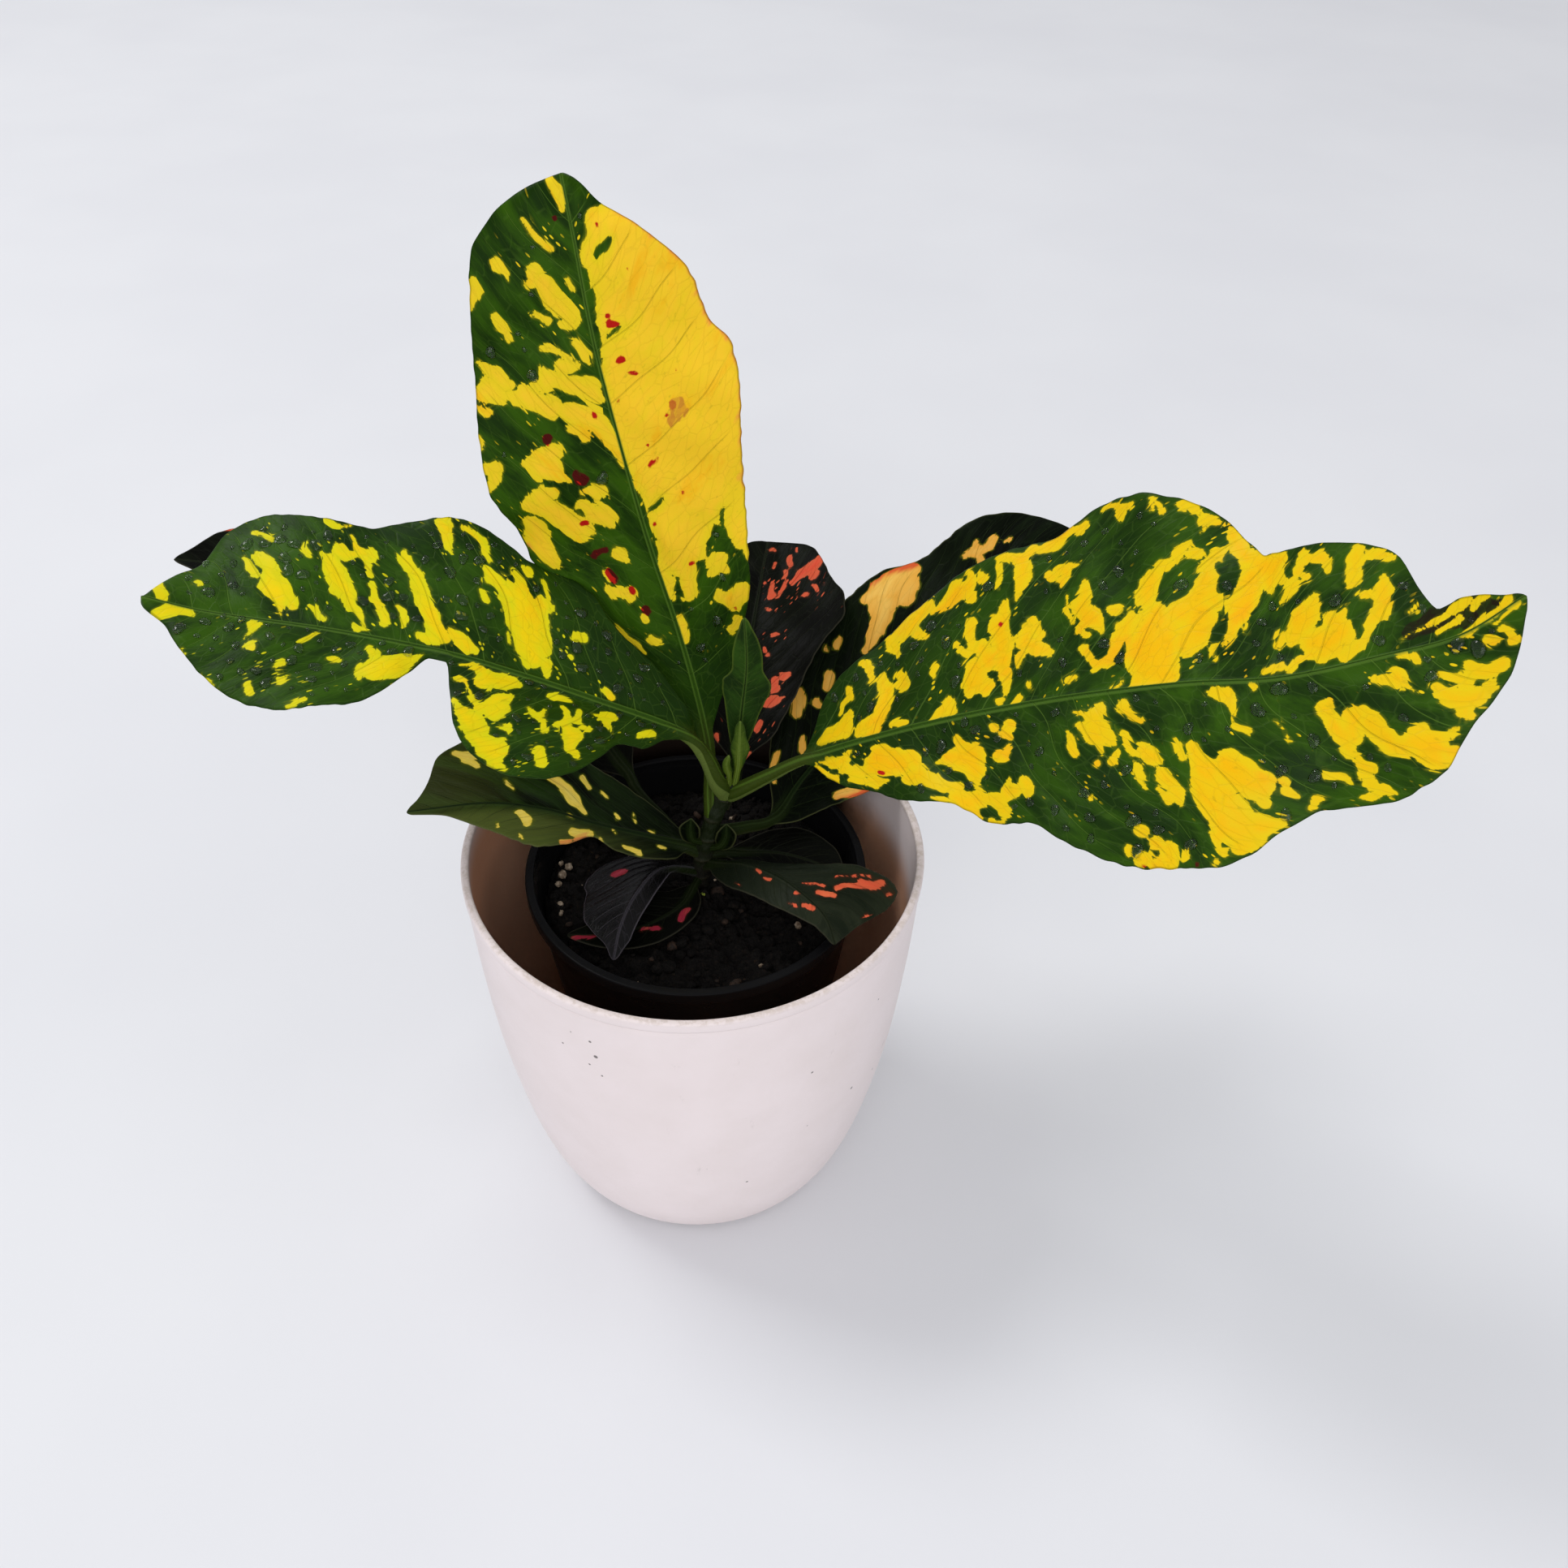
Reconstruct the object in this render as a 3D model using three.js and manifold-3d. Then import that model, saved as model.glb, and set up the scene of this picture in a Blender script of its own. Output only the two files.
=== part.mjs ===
// A young croton in its black nursery pot, standing in a white cover pot.
// Millimetres, +Z up, origin at the centre of the cover pot's underside.
// The plant has one short leaning stem. Every leaf is one solid: its stalk, its midrib and its blade.

import * as THREE from 'three';
import { mergeVertices } from 'three/addons/utils/BufferGeometryUtils.js';
import Module from 'manifold-3d';

const wasm = await Module();
wasm.setup();

// Driving dimensions
const GAP = 0.3;
const COVER = {
  height: 125, rimRadius: 65, lipWidth: 2.2, bandHeight: 3.5, footRadius: 42.8, wall: 2, floor: 3,
  turns: 48,
};
const COVER_WALL = [[45.6, 1.6], [49, 7.5], [53.2, 19], [57.3, 38], [61.2, 65], [63.4, 94]];
const NURSERY = {
  x: 0, y: 6, height: 107.7, rimRadius: 49, lipWidth: 1.8, skirt: 4, wall: 1.2, baseRadius: 34,
  footWidth: 3, recess: 2, floor: 1.5, turns: 48,
};
const DRAIN = { count: 4, radius: 4.5, ring: 21, turns: 12 };
const SOIL = {
  top: 100, mound: 1.6, clearance: 0.55, shoulder: 1.5, turns: 44, rings: 7,
  grains: 14, grainRadius: 1.4, seed: 7,
};
const STEM = { base: 2.9, crown: 2.3, rootDepth: 9, steps: 20, sides: 12, scar: 0.35, scarPitch: 7 };
const EASE = 0.5;
const BLADE = 0.7;
const RIB = { taper: 0.7, top: 0.35, flow: 3 };
const RIPPLE = { from: 3, over: 12 };
const RING_STEP = 9;

const nurserySeat = COVER.floor + GAP;
const soilSeat = nurserySeat + NURSERY.recess + NURSERY.floor + GAP;

const COLOURS = {
  cover: 0xe9e4e2, nursery: 0x141414, soil: 0x17120f, stem: 0x232a16,
  leaf: 0x2f6a1c, deepLeaf: 0x1d3314, darkLeaf: 0x15180f, freshLeaf: 0x3f8a26, paleShoot: 0x7fae45,
};

// Stem axis, from its foot in the soil to the crown
const stemRoute = [
  [0.5, 7.5, SOIL.top - STEM.rootDepth], [0.8, 8, 101], [2, 8.5, 112], [4.5, 10, 124], [8, 11.9, 133],
  [10.2, 13, 138.5],
];

// Leaves. Each follows "route" from inside the stem, which trims its stalk, to its tip.
// outline: distance along the midrib, then the half width on its left and on its right, seen from above.
// tilt: along the midrib from 0 to 1, how far each half rises (degrees) and how far its edge arches (mm).
// ripple: waves along the leaf, their height at the edge and their start, for each half.
const LEAVES = [
  {
    name: 'leaf_tall', colour: COLOURS.leaf, stalk: 1.6, face: [0, -1, 0.3],
    route: [[4.5, 10, 124], [4.3, 11.4, 128.4], [4, 13.6, 133], [3.8, 15.7, 139], [2.5, 20.2, 149.7],
      [-4.4, 29, 174.6], [-14.3, 36.2, 206.5], [-24.5, 44.6, 248], [-29.5, 52, 275.5], [-32, 56, 288.5]],
    outline: [[0, 1.6, 1.6], [26.1, 1.6, 1.8], [33.1, 1.8, 5], [42.1, 7.5, 11], [54.1, 11, 17.5],
      [66.1, 18.5, 24], [79.1, 23, 27], [93.1, 31, 29], [106.1, 35.5, 31.5], [121.1, 33.5, 34],
      [129.1, 31.5, 33.5], [136.1, 30, 29], [148.1, 27.5, 26.5], [159.1, 25, 16.5], [166.1, 19, 7],
      [170.1, 12.5, 4], [173.1, 3, 1]],
    tilt: [[0, 0, 0, 0, 0], [0.2, 3, 14, 0, 0], [0.5, 0, 12, 0, 0], [0.6, 10, 10, -1, -1],
      [1, 4, 4, -2, -2]],
    ripple: [[3.5, 1.2, 0.1], [4, 1.2, 0.6]],
  },
  {
    name: 'leaf_left', colour: COLOURS.leaf, stalk: 1.9, face: [0, 0, 1],
    route: [[8.2, 12, 133.5], [6.2, 9.9, 139.5], [2.6, 9.3, 150], [-4, 7, 160], [-24.5, 6, 170],
      [-44.5, 6, 178], [-63.5, 6, 184.5], [-91.5, 6, 190.5], [-122, 6, 195], [-137, 5, 200]],
    outline: [[0, 1.9, 1.9], [10, 1.9, 1.9], [20, 1.7, 1.8], [26, 1.8, 6], [34, 5, 10.5], [39, 10, 14],
      [46, 11.5, 17], [51, 19, 19], [57, 26, 22.5], [63, 29.5, 28], [71, 30.5, 31], [81, 27.5, 32],
      [88, 20, 35], [91.5, 10, 36.5], [94.5, 2, 37.5], [98.5, 2, 38.3], [102.5, 8, 38.2],
      [108, 16, 36.5], [114, 21, 34.5], [122, 23.5, 31.5], [131, 26, 32], [139, 25, 32],
      [147, 21.5, 31.5], [153, 17, 28.5], [157, 13.5, 24.5], [160.5, 10, 15.5], [164, 5.5, 11.5],
      [168, 3, 6], [171, 1, 1]],
    tilt: [[0, 0, 20, 0, 0], [0.25, -10, 33, 0, 0], [0.6, -14, 30, -1, -1], [1, -10, 24, -2, -2]],
    ripple: [[3, 1, 0.3], [4, 1.3, 0]],
  },
  {
    name: 'leaf_right', colour: COLOURS.leaf, stalk: 1.6, face: [0, 0, 1],
    route: [[8.8, 12.2, 133], [11.6, 10.7, 135.6], [21, 8, 144.5], [32, 4, 155], [58, -6, 174.5],
      [87, -18, 193.5], [113, -29, 208], [133.5, -36, 216], [152, -41, 226.5], [164.5, -44, 234.5],
      [173, -46, 246]],
    outline: [[0, 1.6, 1.6], [30, 1.6, 1.6], [34, 6, 3], [39, 14, 7.5], [46, 19.5, 11.8],
      [54, 24, 14.5], [61, 28, 18], [68, 31.5, 20], [77, 35, 21.5], [89, 38.5, 28], [100, 40.2, 29.3],
      [108, 41, 34], [114, 44, 37], [121, 46.5, 40], [130, 46.3, 41.8], [139, 43.7, 42],
      [147, 38.5, 41.8], [153, 32.5, 39], [159, 28.5, 33], [165, 28.3, 30], [172, 28, 30.5],
      [178, 26.8, 30.8], [184, 24.5, 29], [189, 20.5, 26.5], [192, 12, 21.5], [195, 7, 17.5],
      [200, 7.3, 12.7], [205, 5.5, 8], [209, 2.5, 4], [212, 1, 1]],
    tilt: [[0, 20, -20, 0, 0], [0.2, 38, -35, 0, 0], [0.5, 44, -44, 0, 0], [0.8, 44, -46, 0, 0],
      [1, 50, -50, 0, 0]],
    ripple: [[5, 1.6, 0.2], [5.5, 1.6, 0.5]],
  },
  {
    name: 'leaf_right_back', colour: COLOURS.deepLeaf, stalk: 1.5, face: [0, 0, 1],
    route: [[3.7, 9.6, 120], [14, 13, 119.5], [22.5, 18, 119], [31, 31, 124], [50, 45.5, 141],
      [74.5, 58.5, 159.5], [100, 67, 173.5], [119, 72, 178.5]],
    outline: [[0, 1.5, 1.5], [19, 1.5, 1.7], [25, 3.5, 7], [33, 9, 12], [41, 15, 16], [50, 18, 20],
      [60, 21.5, 24], [70, 26, 26.5], [85, 28.5, 28], [96, 29, 28], [108, 25.5, 27], [123, 26.5, 25],
      [135, 24, 21], [146, 15, 14], [152, 7, 7], [156, 1, 1]],
    tilt: [[0, 10, 0, 0, 0], [0.3, 30, -6, 0, 0], [1, 25, -10, 0, 0]],
    ripple: [[4, 1.2, 0], [4, 1.2, 0.4]],
  },
  {
    name: 'leaf_back', colour: COLOURS.darkLeaf, stalk: 1.4, face: [0, -0.4, 1],
    route: [[7.4, 11.9, 128], [11, 18, 134.5], [11, 26, 141.3], [12, 40, 149], [14.5, 62, 159.5],
      [17.7, 88, 169.5]],
    outline: [[0, 1.4, 1.4], [12.8, 1.5, 1.7], [22.8, 8, 11], [32.8, 13, 15], [44.8, 18, 18.5],
      [54.8, 21.5, 22.5], [64.8, 22, 27], [71.8, 20.5, 26], [76.8, 18, 22], [81.8, 13, 19],
      [86.8, 8, 16], [90.8, 3.5, 10]],
    tilt: [[0, 10, 10, 0, 0], [1, 10, 10, 0, 0]],
    ripple: [[3, 0.8, 0], [3, 0.8, 0.5]],
  },
  {
    name: 'leaf_left_back', colour: COLOURS.darkLeaf, stalk: 1.5, face: [0, 0, 1],
    route: [[2, 9.3, 110.5], [-5, 13.3, 113.8], [-11, 17, 119], [-18, 22, 124], [-23, 28, 128.5],
      [-39, 38, 142.5], [-73, 52, 160.5], [-110.5, 58, 170.5], [-132.5, 56, 175.5], [-149, 50, 181.5]],
    outline: [[0, 1.5, 1.5], [32, 1.5, 1.7], [40, 7, 7], [50, 12, 12], [60, 15, 16], [75, 15, 19.5],
      [90, 14, 21], [105, 14, 21.5], [120, 18, 22], [133, 19, 22.5], [145, 18, 22], [157, 14, 17.5],
      [169, 9, 11.8], [176, 4, 5], [181, 0.8, 0.8]],
    tilt: [[0, -5, 10, 0, 0], [1, -5, 20, 0, 0]],
    ripple: [[4, 1, 0], [4, 1, 0.5]],
  },
  {
    name: 'leaf_front_left', colour: COLOURS.deepLeaf, stalk: 1.4, face: [0, 0, 1],
    route: [[1.8, 8.6, 112.5], [-5, 8, 116.5], [-13, 6, 121], [-28.5, 1.5, 130], [-40.5, -1, 137],
      [-56, -3.5, 141], [-76.5, -9, 142]],
    outline: [[0, 1.4, 1.4], [5, 1.5, 1.6], [9, 5, 5], [15, 6.6, 8.5], [22, 7.4, 11.5], [29, 7, 14.5],
      [36, 4.2, 16.5], [44, 9, 18], [53, 11.5, 19.5], [61, 10.3, 20], [69, 7.6, 19.3], [75, 4.5, 16.5],
      [79, 2.5, 14], [82, 1.8, 8], [86, 1.2, 3], [89, 0.8, 0.8]],
    tilt: [[0, -20, 30, 0, 0], [1, -20, 35, 0, 0]],
    ripple: [[3, 0.5, 0], [3, 0.7, 0.5]],
  },
  {
    name: 'leaf_front_right', colour: COLOURS.darkLeaf, stalk: 1.4, face: [0, 0, 1],
    route: [[1.6, 8.3, 108], [13, -0.5, 118], [22.5, -8.5, 122], [30, -16, 123], [37, -23, 121],
      [40, -29.5, 117]],
    outline: [[0, 1.4, 1.4], [4, 1.4, 1.6], [8, 3, 4], [14, 6, 6.8], [21, 7.5, 8.5], [29, 9, 8.3],
      [37, 11, 7.8], [43, 15, 6.5], [49, 19.5, 5], [53, 21.7, 3.6], [55, 17, 3], [56.5, 8, 2.2],
      [58, 4.5, 1.5], [60, 0.8, 0.8]],
    tilt: [[0, -10, -20, 0, 0], [0.35, -25, -20, 0, 0], [0.75, 10, -20, 0, 0], [1, 10, -20, 0, 0]],
    ripple: [[2, 0.5, 0], [2, 0.5, 0.5]],
  },
  {
    name: 'leaf_front_small', colour: COLOURS.darkLeaf, stalk: 1.2, face: [0, 0, 1],
    route: [[1.2, 8.1, 105.5], [-9.5, 1.5, 113], [-15.5, -10.5, 115], [-19, -21, 113],
      [-20.5, -29.5, 108]],
    outline: [[0, 1.2, 1.2], [7, 1.3, 1.4], [11, 1.5, 8], [15, 3, 14.5], [20, 4, 18.5], [25, 4.3, 20],
      [30, 4.5, 17.5], [35, 4.3, 15], [40, 4, 12], [43, 3.8, 8], [46, 2.5, 3.5], [50, 0.8, 0.8]],
    tilt: [[0, -30, -20, 0, 0], [1, -30, -20, 0, 0]],
    ripple: [[2, 0.4, 0], [2, 0.6, 0.5]],
  },
  {
    name: 'leaf_on_soil', colour: COLOURS.darkLeaf, stalk: 1, face: [0, 0, 1],
    route: [[0.9, 8, 104], [-1, 1.5, 104.6], [-4.5, -6, 104.6], [-14, -13.5, 104.4], [-25, -17, 104.3],
      [-35, -18, 104.8]],
    outline: [[0, 1, 1], [4, 1, 1.2], [9, 4, 5], [16, 6.5, 8.5], [24, 7.5, 9], [32, 6.5, 7.5],
      [39, 4, 4.5], [46, 0.8, 0.8]],
    tilt: [[0, 0, 8, 0, 0], [1, 0, 10, 0, 0]],
    ripple: [[2, 0.3, 0], [2, 0.4, 0.5]],
  },
  {
    name: 'leaf_in_shade', colour: COLOURS.darkLeaf, stalk: 1.2, face: [0, 0, 1],
    route: [[2, 8.5, 112], [14, 10.5, 111.5], [25, 11, 111], [36, 8, 110], [43.5, 3, 109]],
    outline: [[0, 1.2, 1.2], [6, 1.3, 1.5], [12, 4, 5], [20, 8, 7.5], [28, 10, 8], [36, 8, 6],
      [42, 3.5, 3], [45.5, 0.8, 0.8]],
    tilt: [[0, 10, 0, 0, 0], [1, 15, 0, 0, 0]],
    ripple: [[2, 0.3, 0], [2, 0.4, 0.5]],
  },
  {
    name: 'leaf_new', colour: COLOURS.freshLeaf, stalk: 1.2, face: [0, -1, 0.3],
    route: [[9.8, 13.5, 135], [11, 14.9, 141], [11.6, 15, 147], [12.8, 14.5, 162], [14, 13.3, 178],
      [13.5, 11, 195]],
    outline: [[0, 1.2, 1.2], [10.8, 1.2, 1.3], [16.8, 2, 2.6], [21.8, 3.5, 4.3], [26.8, 5, 6.4],
      [31.8, 5.9, 7.4], [35.8, 5.7, 7.2], [39.8, 3.6, 5], [44.8, 3.4, 4.2], [50.8, 3, 3.7],
      [55.8, 2, 2.5], [60.8, 0.7, 0.7]],
    tilt: [[0, 10, 10, 0, 0], [1, 10, 10, 0, 0]],
    ripple: [[2, 0.3, 0], [2, 0.3, 0.5]],
  },
  {
    name: 'leaf_newest', colour: COLOURS.freshLeaf, stalk: 0.75, face: [0, -1, 0.3],
    route: [[10.9, 11.9, 137], [11.6, 11.3, 142], [12, 11.1, 146], [12.2, 11.2, 151.5],
      [12.5, 11, 161]],
    outline: [[0, 0.75, 0.75], [6.3, 0.75, 0.9], [11.3, 1.6, 2], [16.3, 2.4, 3], [20.3, 1.6, 1.9],
      [23.3, 1.4, 1.5], [26.3, 0.7, 0.7]],
    tilt: [[0, 12, 12, 0, 0], [1, 12, 12, 0, 0]],
    ripple: [[1, 0, 0], [1, 0, 0]],
  },
  {
    name: 'leaf_bud', colour: COLOURS.paleShoot, stalk: 0.75, face: [0, -1, 0.3],
    route: [[9.4, 11.8, 136.5], [9.4, 10.4, 142], [8.8, 9.4, 146.7], [9.5, 9.1, 150.3]],
    outline: [[0, 0.75, 0.75], [6, 0.75, 0.8], [10, 1.4, 1.5], [13, 1.3, 1.2], [16.5, 0.7, 0.7]],
    tilt: [[0, 20, 20, 0, 0], [1, 30, 30, 0, 0]],
    ripple: [[1, 0, 0], [1, 0, 0]],
  },
  {
    name: 'shoot_left', colour: COLOURS.deepLeaf, stalk: 0.9, face: [0, -1, 0.5],
    route: [[3, 9, 117], [-0.6, 6.6, 120], [-1.4, 6.2, 124], [-1.2, 6.6, 128.5]],
    outline: [[0, 0.9, 0.9], [4, 1, 1], [7, 2.9, 2.7], [10, 3.4, 3], [13, 0.7, 0.7]],
    tilt: [[0, 10, 10, 0, 0], [1, 20, 20, 0, 0]],
    ripple: [[1, 0, 0], [1, 0, 0]],
  },
  {
    name: 'shoot_right', colour: COLOURS.deepLeaf, stalk: 0.9, face: [0, -1, 0.5],
    route: [[3, 8.8, 115], [6.8, 6.4, 118], [8.6, 6, 122], [8.9, 6.4, 127]],
    outline: [[0, 0.9, 0.9], [4, 1, 1], [8, 2.8, 2.9], [11, 3, 3.2], [14.5, 0.7, 0.7]],
    tilt: [[0, 10, 10, 0, 0], [1, 20, 20, 0, 0]],
    ripple: [[1, 0, 0], [1, 0, 0]],
  },
];

const vector = (p) => new THREE.Vector3(...p);
const route3 = (points) => new THREE.CatmullRomCurve3(points.map(vector), false, 'catmullrom', 0.5);

// Value at x of a smooth curve through the knots [x, ...values] that never overshoots them
function through(knots, x, column = 1) {
  const last = knots.length - 1;
  const X = (k) => knots[k][0];
  const Y = (k) => knots[k][column];
  const slope = (k) => (Y(k + 1) - Y(k)) / (X(k + 1) - X(k));
  const grade = (k) => {
    if (k === 0) return slope(0);
    if (k === last) return slope(last - 1);
    const [a, b] = [slope(k - 1), slope(k)];
    return a * b <= 0 ? 0 : (2 * a * b) / (a + b);
  };
  const at = Math.min(Math.max(x, X(0)), X(last));
  let k = 0;
  while (k < last - 1 && at >= X(k + 1)) k += 1;
  const span = X(k + 1) - X(k);
  const w = (at - X(k)) / span;
  return (1 + 2 * w) * (1 - w) ** 2 * Y(k) + w * (1 - w) ** 2 * span * grade(k)
    + w * w * (3 - 2 * w) * Y(k + 1) + w * w * (w - 1) * span * grade(k + 1);
}

// manifold-3d solid of a closed geometry, and back
function solid(geometry) {
  const bare = geometry.clone();
  bare.deleteAttribute('normal');
  bare.deleteAttribute('uv');
  const merged = mergeVertices(bare, 1e-4);
  return new wasm.Manifold(new wasm.Mesh({
    numProp: 3,
    vertProperties: new Float32Array(merged.attributes.position.array),
    triVerts: new Uint32Array(merged.index.array),
  }));
}

function geometryOf(made) {
  const { vertProperties, triVerts } = made.getMesh();
  const geometry = new THREE.BufferGeometry();
  geometry.setAttribute('position', new THREE.BufferAttribute(vertProperties, 3));
  geometry.setIndex(new THREE.BufferAttribute(triVerts, 1));
  geometry.computeVertexNormals();
  return geometry;
}

// Body of revolution about Z from a profile of [radius, height]
function turned(profile, turns) {
  const geometry = new THREE.LatheGeometry(profile.map(([r, z]) => new THREE.Vector2(r, z)), turns);
  return geometry.rotateX(Math.PI / 2);
}

// Points of a smooth line through [radius, height] points
const smooth = (points, count) => new THREE.SplineCurve(points.map(([r, z]) => new THREE.Vector2(r, z)))
  .getPoints(count).map((p) => [p.x, p.y]);

// Solid between rings of points, each ring turning the same way, with flat ends
function lofted(rings) {
  const around = rings[0].length;
  const points = rings.flat();
  const faces = [];
  for (let i = 0; i + 1 < rings.length; i += 1) {
    for (let j = 0; j < around; j += 1) {
      const [a, b] = [i * around + j, i * around + ((j + 1) % around)];
      faces.push(a, b, b + around, a, b + around, a + around);
    }
  }
  const top = (rings.length - 1) * around;
  for (let j = 1; j + 1 < around; j += 1) {
    faces.push(0, j + 1, j, top, top + j, top + j + 1);
  }
  return meshOf(points, faces);
}

function meshOf(points, faces) {
  const geometry = new THREE.BufferGeometry().setFromPoints(points);
  geometry.setIndex(faces);
  geometry.computeVertexNormals();
  return geometry;
}

// Round rod along a curve with a radius that changes along it
function rod(curve, radiusAt, steps, sides) {
  const rings = [];
  for (let i = 0; i <= steps; i += 1) {
    const centre = curve.getPointAt(i / steps);
    const along = curve.getTangentAt(i / steps);
    const across = new THREE.Vector3(1, 0, 0).addScaledVector(along, -along.x).normalize();
    const third = new THREE.Vector3().crossVectors(along, across);
    const radius = radiusAt(i / steps);
    rings.push(Array.from({ length: sides }, (_, j) => {
      const a = (2 * Math.PI * j) / sides;
      return centre.clone().addScaledVector(across, radius * Math.cos(a))
        .addScaledVector(third, radius * Math.sin(a));
    }));
  }
  return lofted(rings);
}

// Cover pot: convex wall, rounded foot, a slight band under the rim, hollow inside
function coverPot() {
  const { height, rimRadius, lipWidth, bandHeight, footRadius, wall, floor, turns } = COVER;
  const innerRim = rimRadius - lipWidth;
  const outside = smooth([...COVER_WALL, [rimRadius - 0.3, height - bandHeight]], 9);
  const innerWall = COVER_WALL.slice(1).map(([r, z]) => [r - wall, z + 1]);
  const inside = smooth([...innerWall, [innerRim, height - 1]], 7);
  return turned([
    [0, 0], [footRadius, 0],
    ...outside,
    [rimRadius, height - bandHeight + EASE], [rimRadius, height - EASE], [rimRadius - EASE, height],
    [innerRim + EASE, height],
    ...inside.reverse(),
    [footRadius, floor + 1], [footRadius - 1.5, floor], [0, floor],
  ], turns);
}

// Nursery pot: thin tapered wall with a skirted lip and drain holes, standing on the cover pot's floor
function nurseryPot() {
  const {
    x, y, height, rimRadius, lipWidth, skirt, wall, baseRadius, footWidth, recess, floor, turns,
  } = NURSERY;
  const neck = rimRadius - lipWidth - wall;
  let pot = solid(turned([
    [0, recess], [baseRadius - footWidth - 1, recess], [baseRadius - footWidth, 0], [baseRadius, 0],
    [neck + wall, height - skirt], [rimRadius, height - skirt], [rimRadius + EASE, height - skirt + EASE],
    [rimRadius, height - EASE], [rimRadius - EASE, height], [neck + 2 * EASE, height],
    [neck + EASE, height - wall],
    [baseRadius - wall, recess + floor], [0, recess + floor],
  ], turns));
  for (let k = 0; k < DRAIN.count; k += 1) {
    const a = (2 * Math.PI * (k + 0.5)) / DRAIN.count;
    const drill = new THREE.CylinderGeometry(DRAIN.radius, DRAIN.radius, 2 * (recess + floor), DRAIN.turns)
      .rotateX(Math.PI / 2).translate(DRAIN.ring * Math.cos(a), DRAIN.ring * Math.sin(a), recess);
    pot = pot.subtract(solid(drill));
  }
  return geometryOf(pot).translate(x, y, nurserySeat);
}

// Small even wandering of the soil's surface
const soilHeight = (x, y) => SOIL.mound * (0.5 * Math.sin(x * 0.31 + 1) * Math.cos(y * 0.27)
  + 0.35 * Math.sin(x * 0.7 + y * 0.5) + 0.3 * Math.cos(y * 0.83 - x * 0.4));

// Repeatable draws between 0 and 1
function draws(seed) {
  let state = seed;
  return () => {
    state = (state * 16807) % 2147483647;
    return state / 2147483647;
  };
}

// Radius of the soil at a height inside the nursery pot's tapered wall
function soilRadius(z) {
  const { rimRadius, lipWidth, wall, baseRadius, height } = NURSERY;
  const [low, high] = [baseRadius - wall, rimRadius - lipWidth - wall + EASE];
  const [from, to] = [soilSeat - GAP, nurserySeat + height - wall];
  return low + ((high - low) * (z - from)) / (to - from) - SOIL.clearance;
}

// Potting soil that fills the nursery pot, with a hole for the stem and pale grains on its surface
function soil() {
  const { x, y } = NURSERY;
  const edge = soilRadius(SOIL.top);
  const profile = [[0, soilSeat], [soilRadius(soilSeat), soilSeat], [edge, SOIL.top - SOIL.shoulder]];
  for (let k = SOIL.rings; k >= 0; k -= 1) profile.push([(edge * k) / (SOIL.rings + 0.3), SOIL.top]);
  const body = turned(profile, SOIL.turns).translate(x, y, 0);
  const spots = body.attributes.position;
  for (let k = 0; k < spots.count; k += 1) {
    if (spots.getZ(k) > SOIL.top - EASE) spots.setZ(k, SOIL.top + soilHeight(spots.getX(k), spots.getY(k)));
  }
  const hole = rod(route3(stemRoute), () => STEM.base + STEM.scar + GAP, STEM.steps, STEM.sides)
    .translate(0, 0, -2 * GAP);
  let made = solid(body).subtract(solid(hole));
  const draw = draws(SOIL.seed);
  for (let k = 0; k < SOIL.grains; k += 1) {
    const reach = edge * Math.sqrt(0.12 + 0.72 * draw());
    const turn = 2 * Math.PI * draw();
    const size = SOIL.grainRadius * (0.7 + 0.6 * draw());
    const [gx, gy] = [x + reach * Math.cos(turn), y + reach * Math.sin(turn)];
    const grain = new THREE.IcosahedronGeometry(size, 0).scale(1, 0.8, 0.9).rotateZ(turn)
      .translate(gx, gy, SOIL.top + soilHeight(gx, gy));
    made = made.add(solid(grain));
  }
  return geometryOf(made);
}

// Stem with a low ring where each fallen leaf sat; grown larger by "spare" it cuts the leaf stalks
function stem(spare = 0) {
  const curve = route3(stemRoute);
  const length = curve.getLength();
  const radiusAt = (t) => STEM.base + (STEM.crown - STEM.base) * t + spare
    + STEM.scar * Math.max(0, Math.cos((2 * Math.PI * t * length) / STEM.scarPitch)) ** 4;
  return rod(curve, radiusAt, STEM.steps, STEM.sides);
}

// Places along a leaf where its outline has a knot, with more between knots that lie far apart
function stations(outline, length) {
  const ends = outline.map(([at]) => at / outline[outline.length - 1][0]);
  const stops = ends.slice(1).flatMap((end, k) => {
    const parts = Math.ceil(((end - ends[k]) * length) / RING_STEP);
    return Array.from({ length: parts }, (_, part) => ends[k] + ((end - ends[k]) * part) / parts);
  });
  return [...stops, 1];
}

// Columns across a leaf: which half, and how far out (0 midrib, 1 its edge, 2 middle of the half, 3 margin)
const COLUMNS = [[-1, 3], [-1, 2], [-1, 1], [1, 0], [1, 1], [1, 2], [1, 3]];

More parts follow.
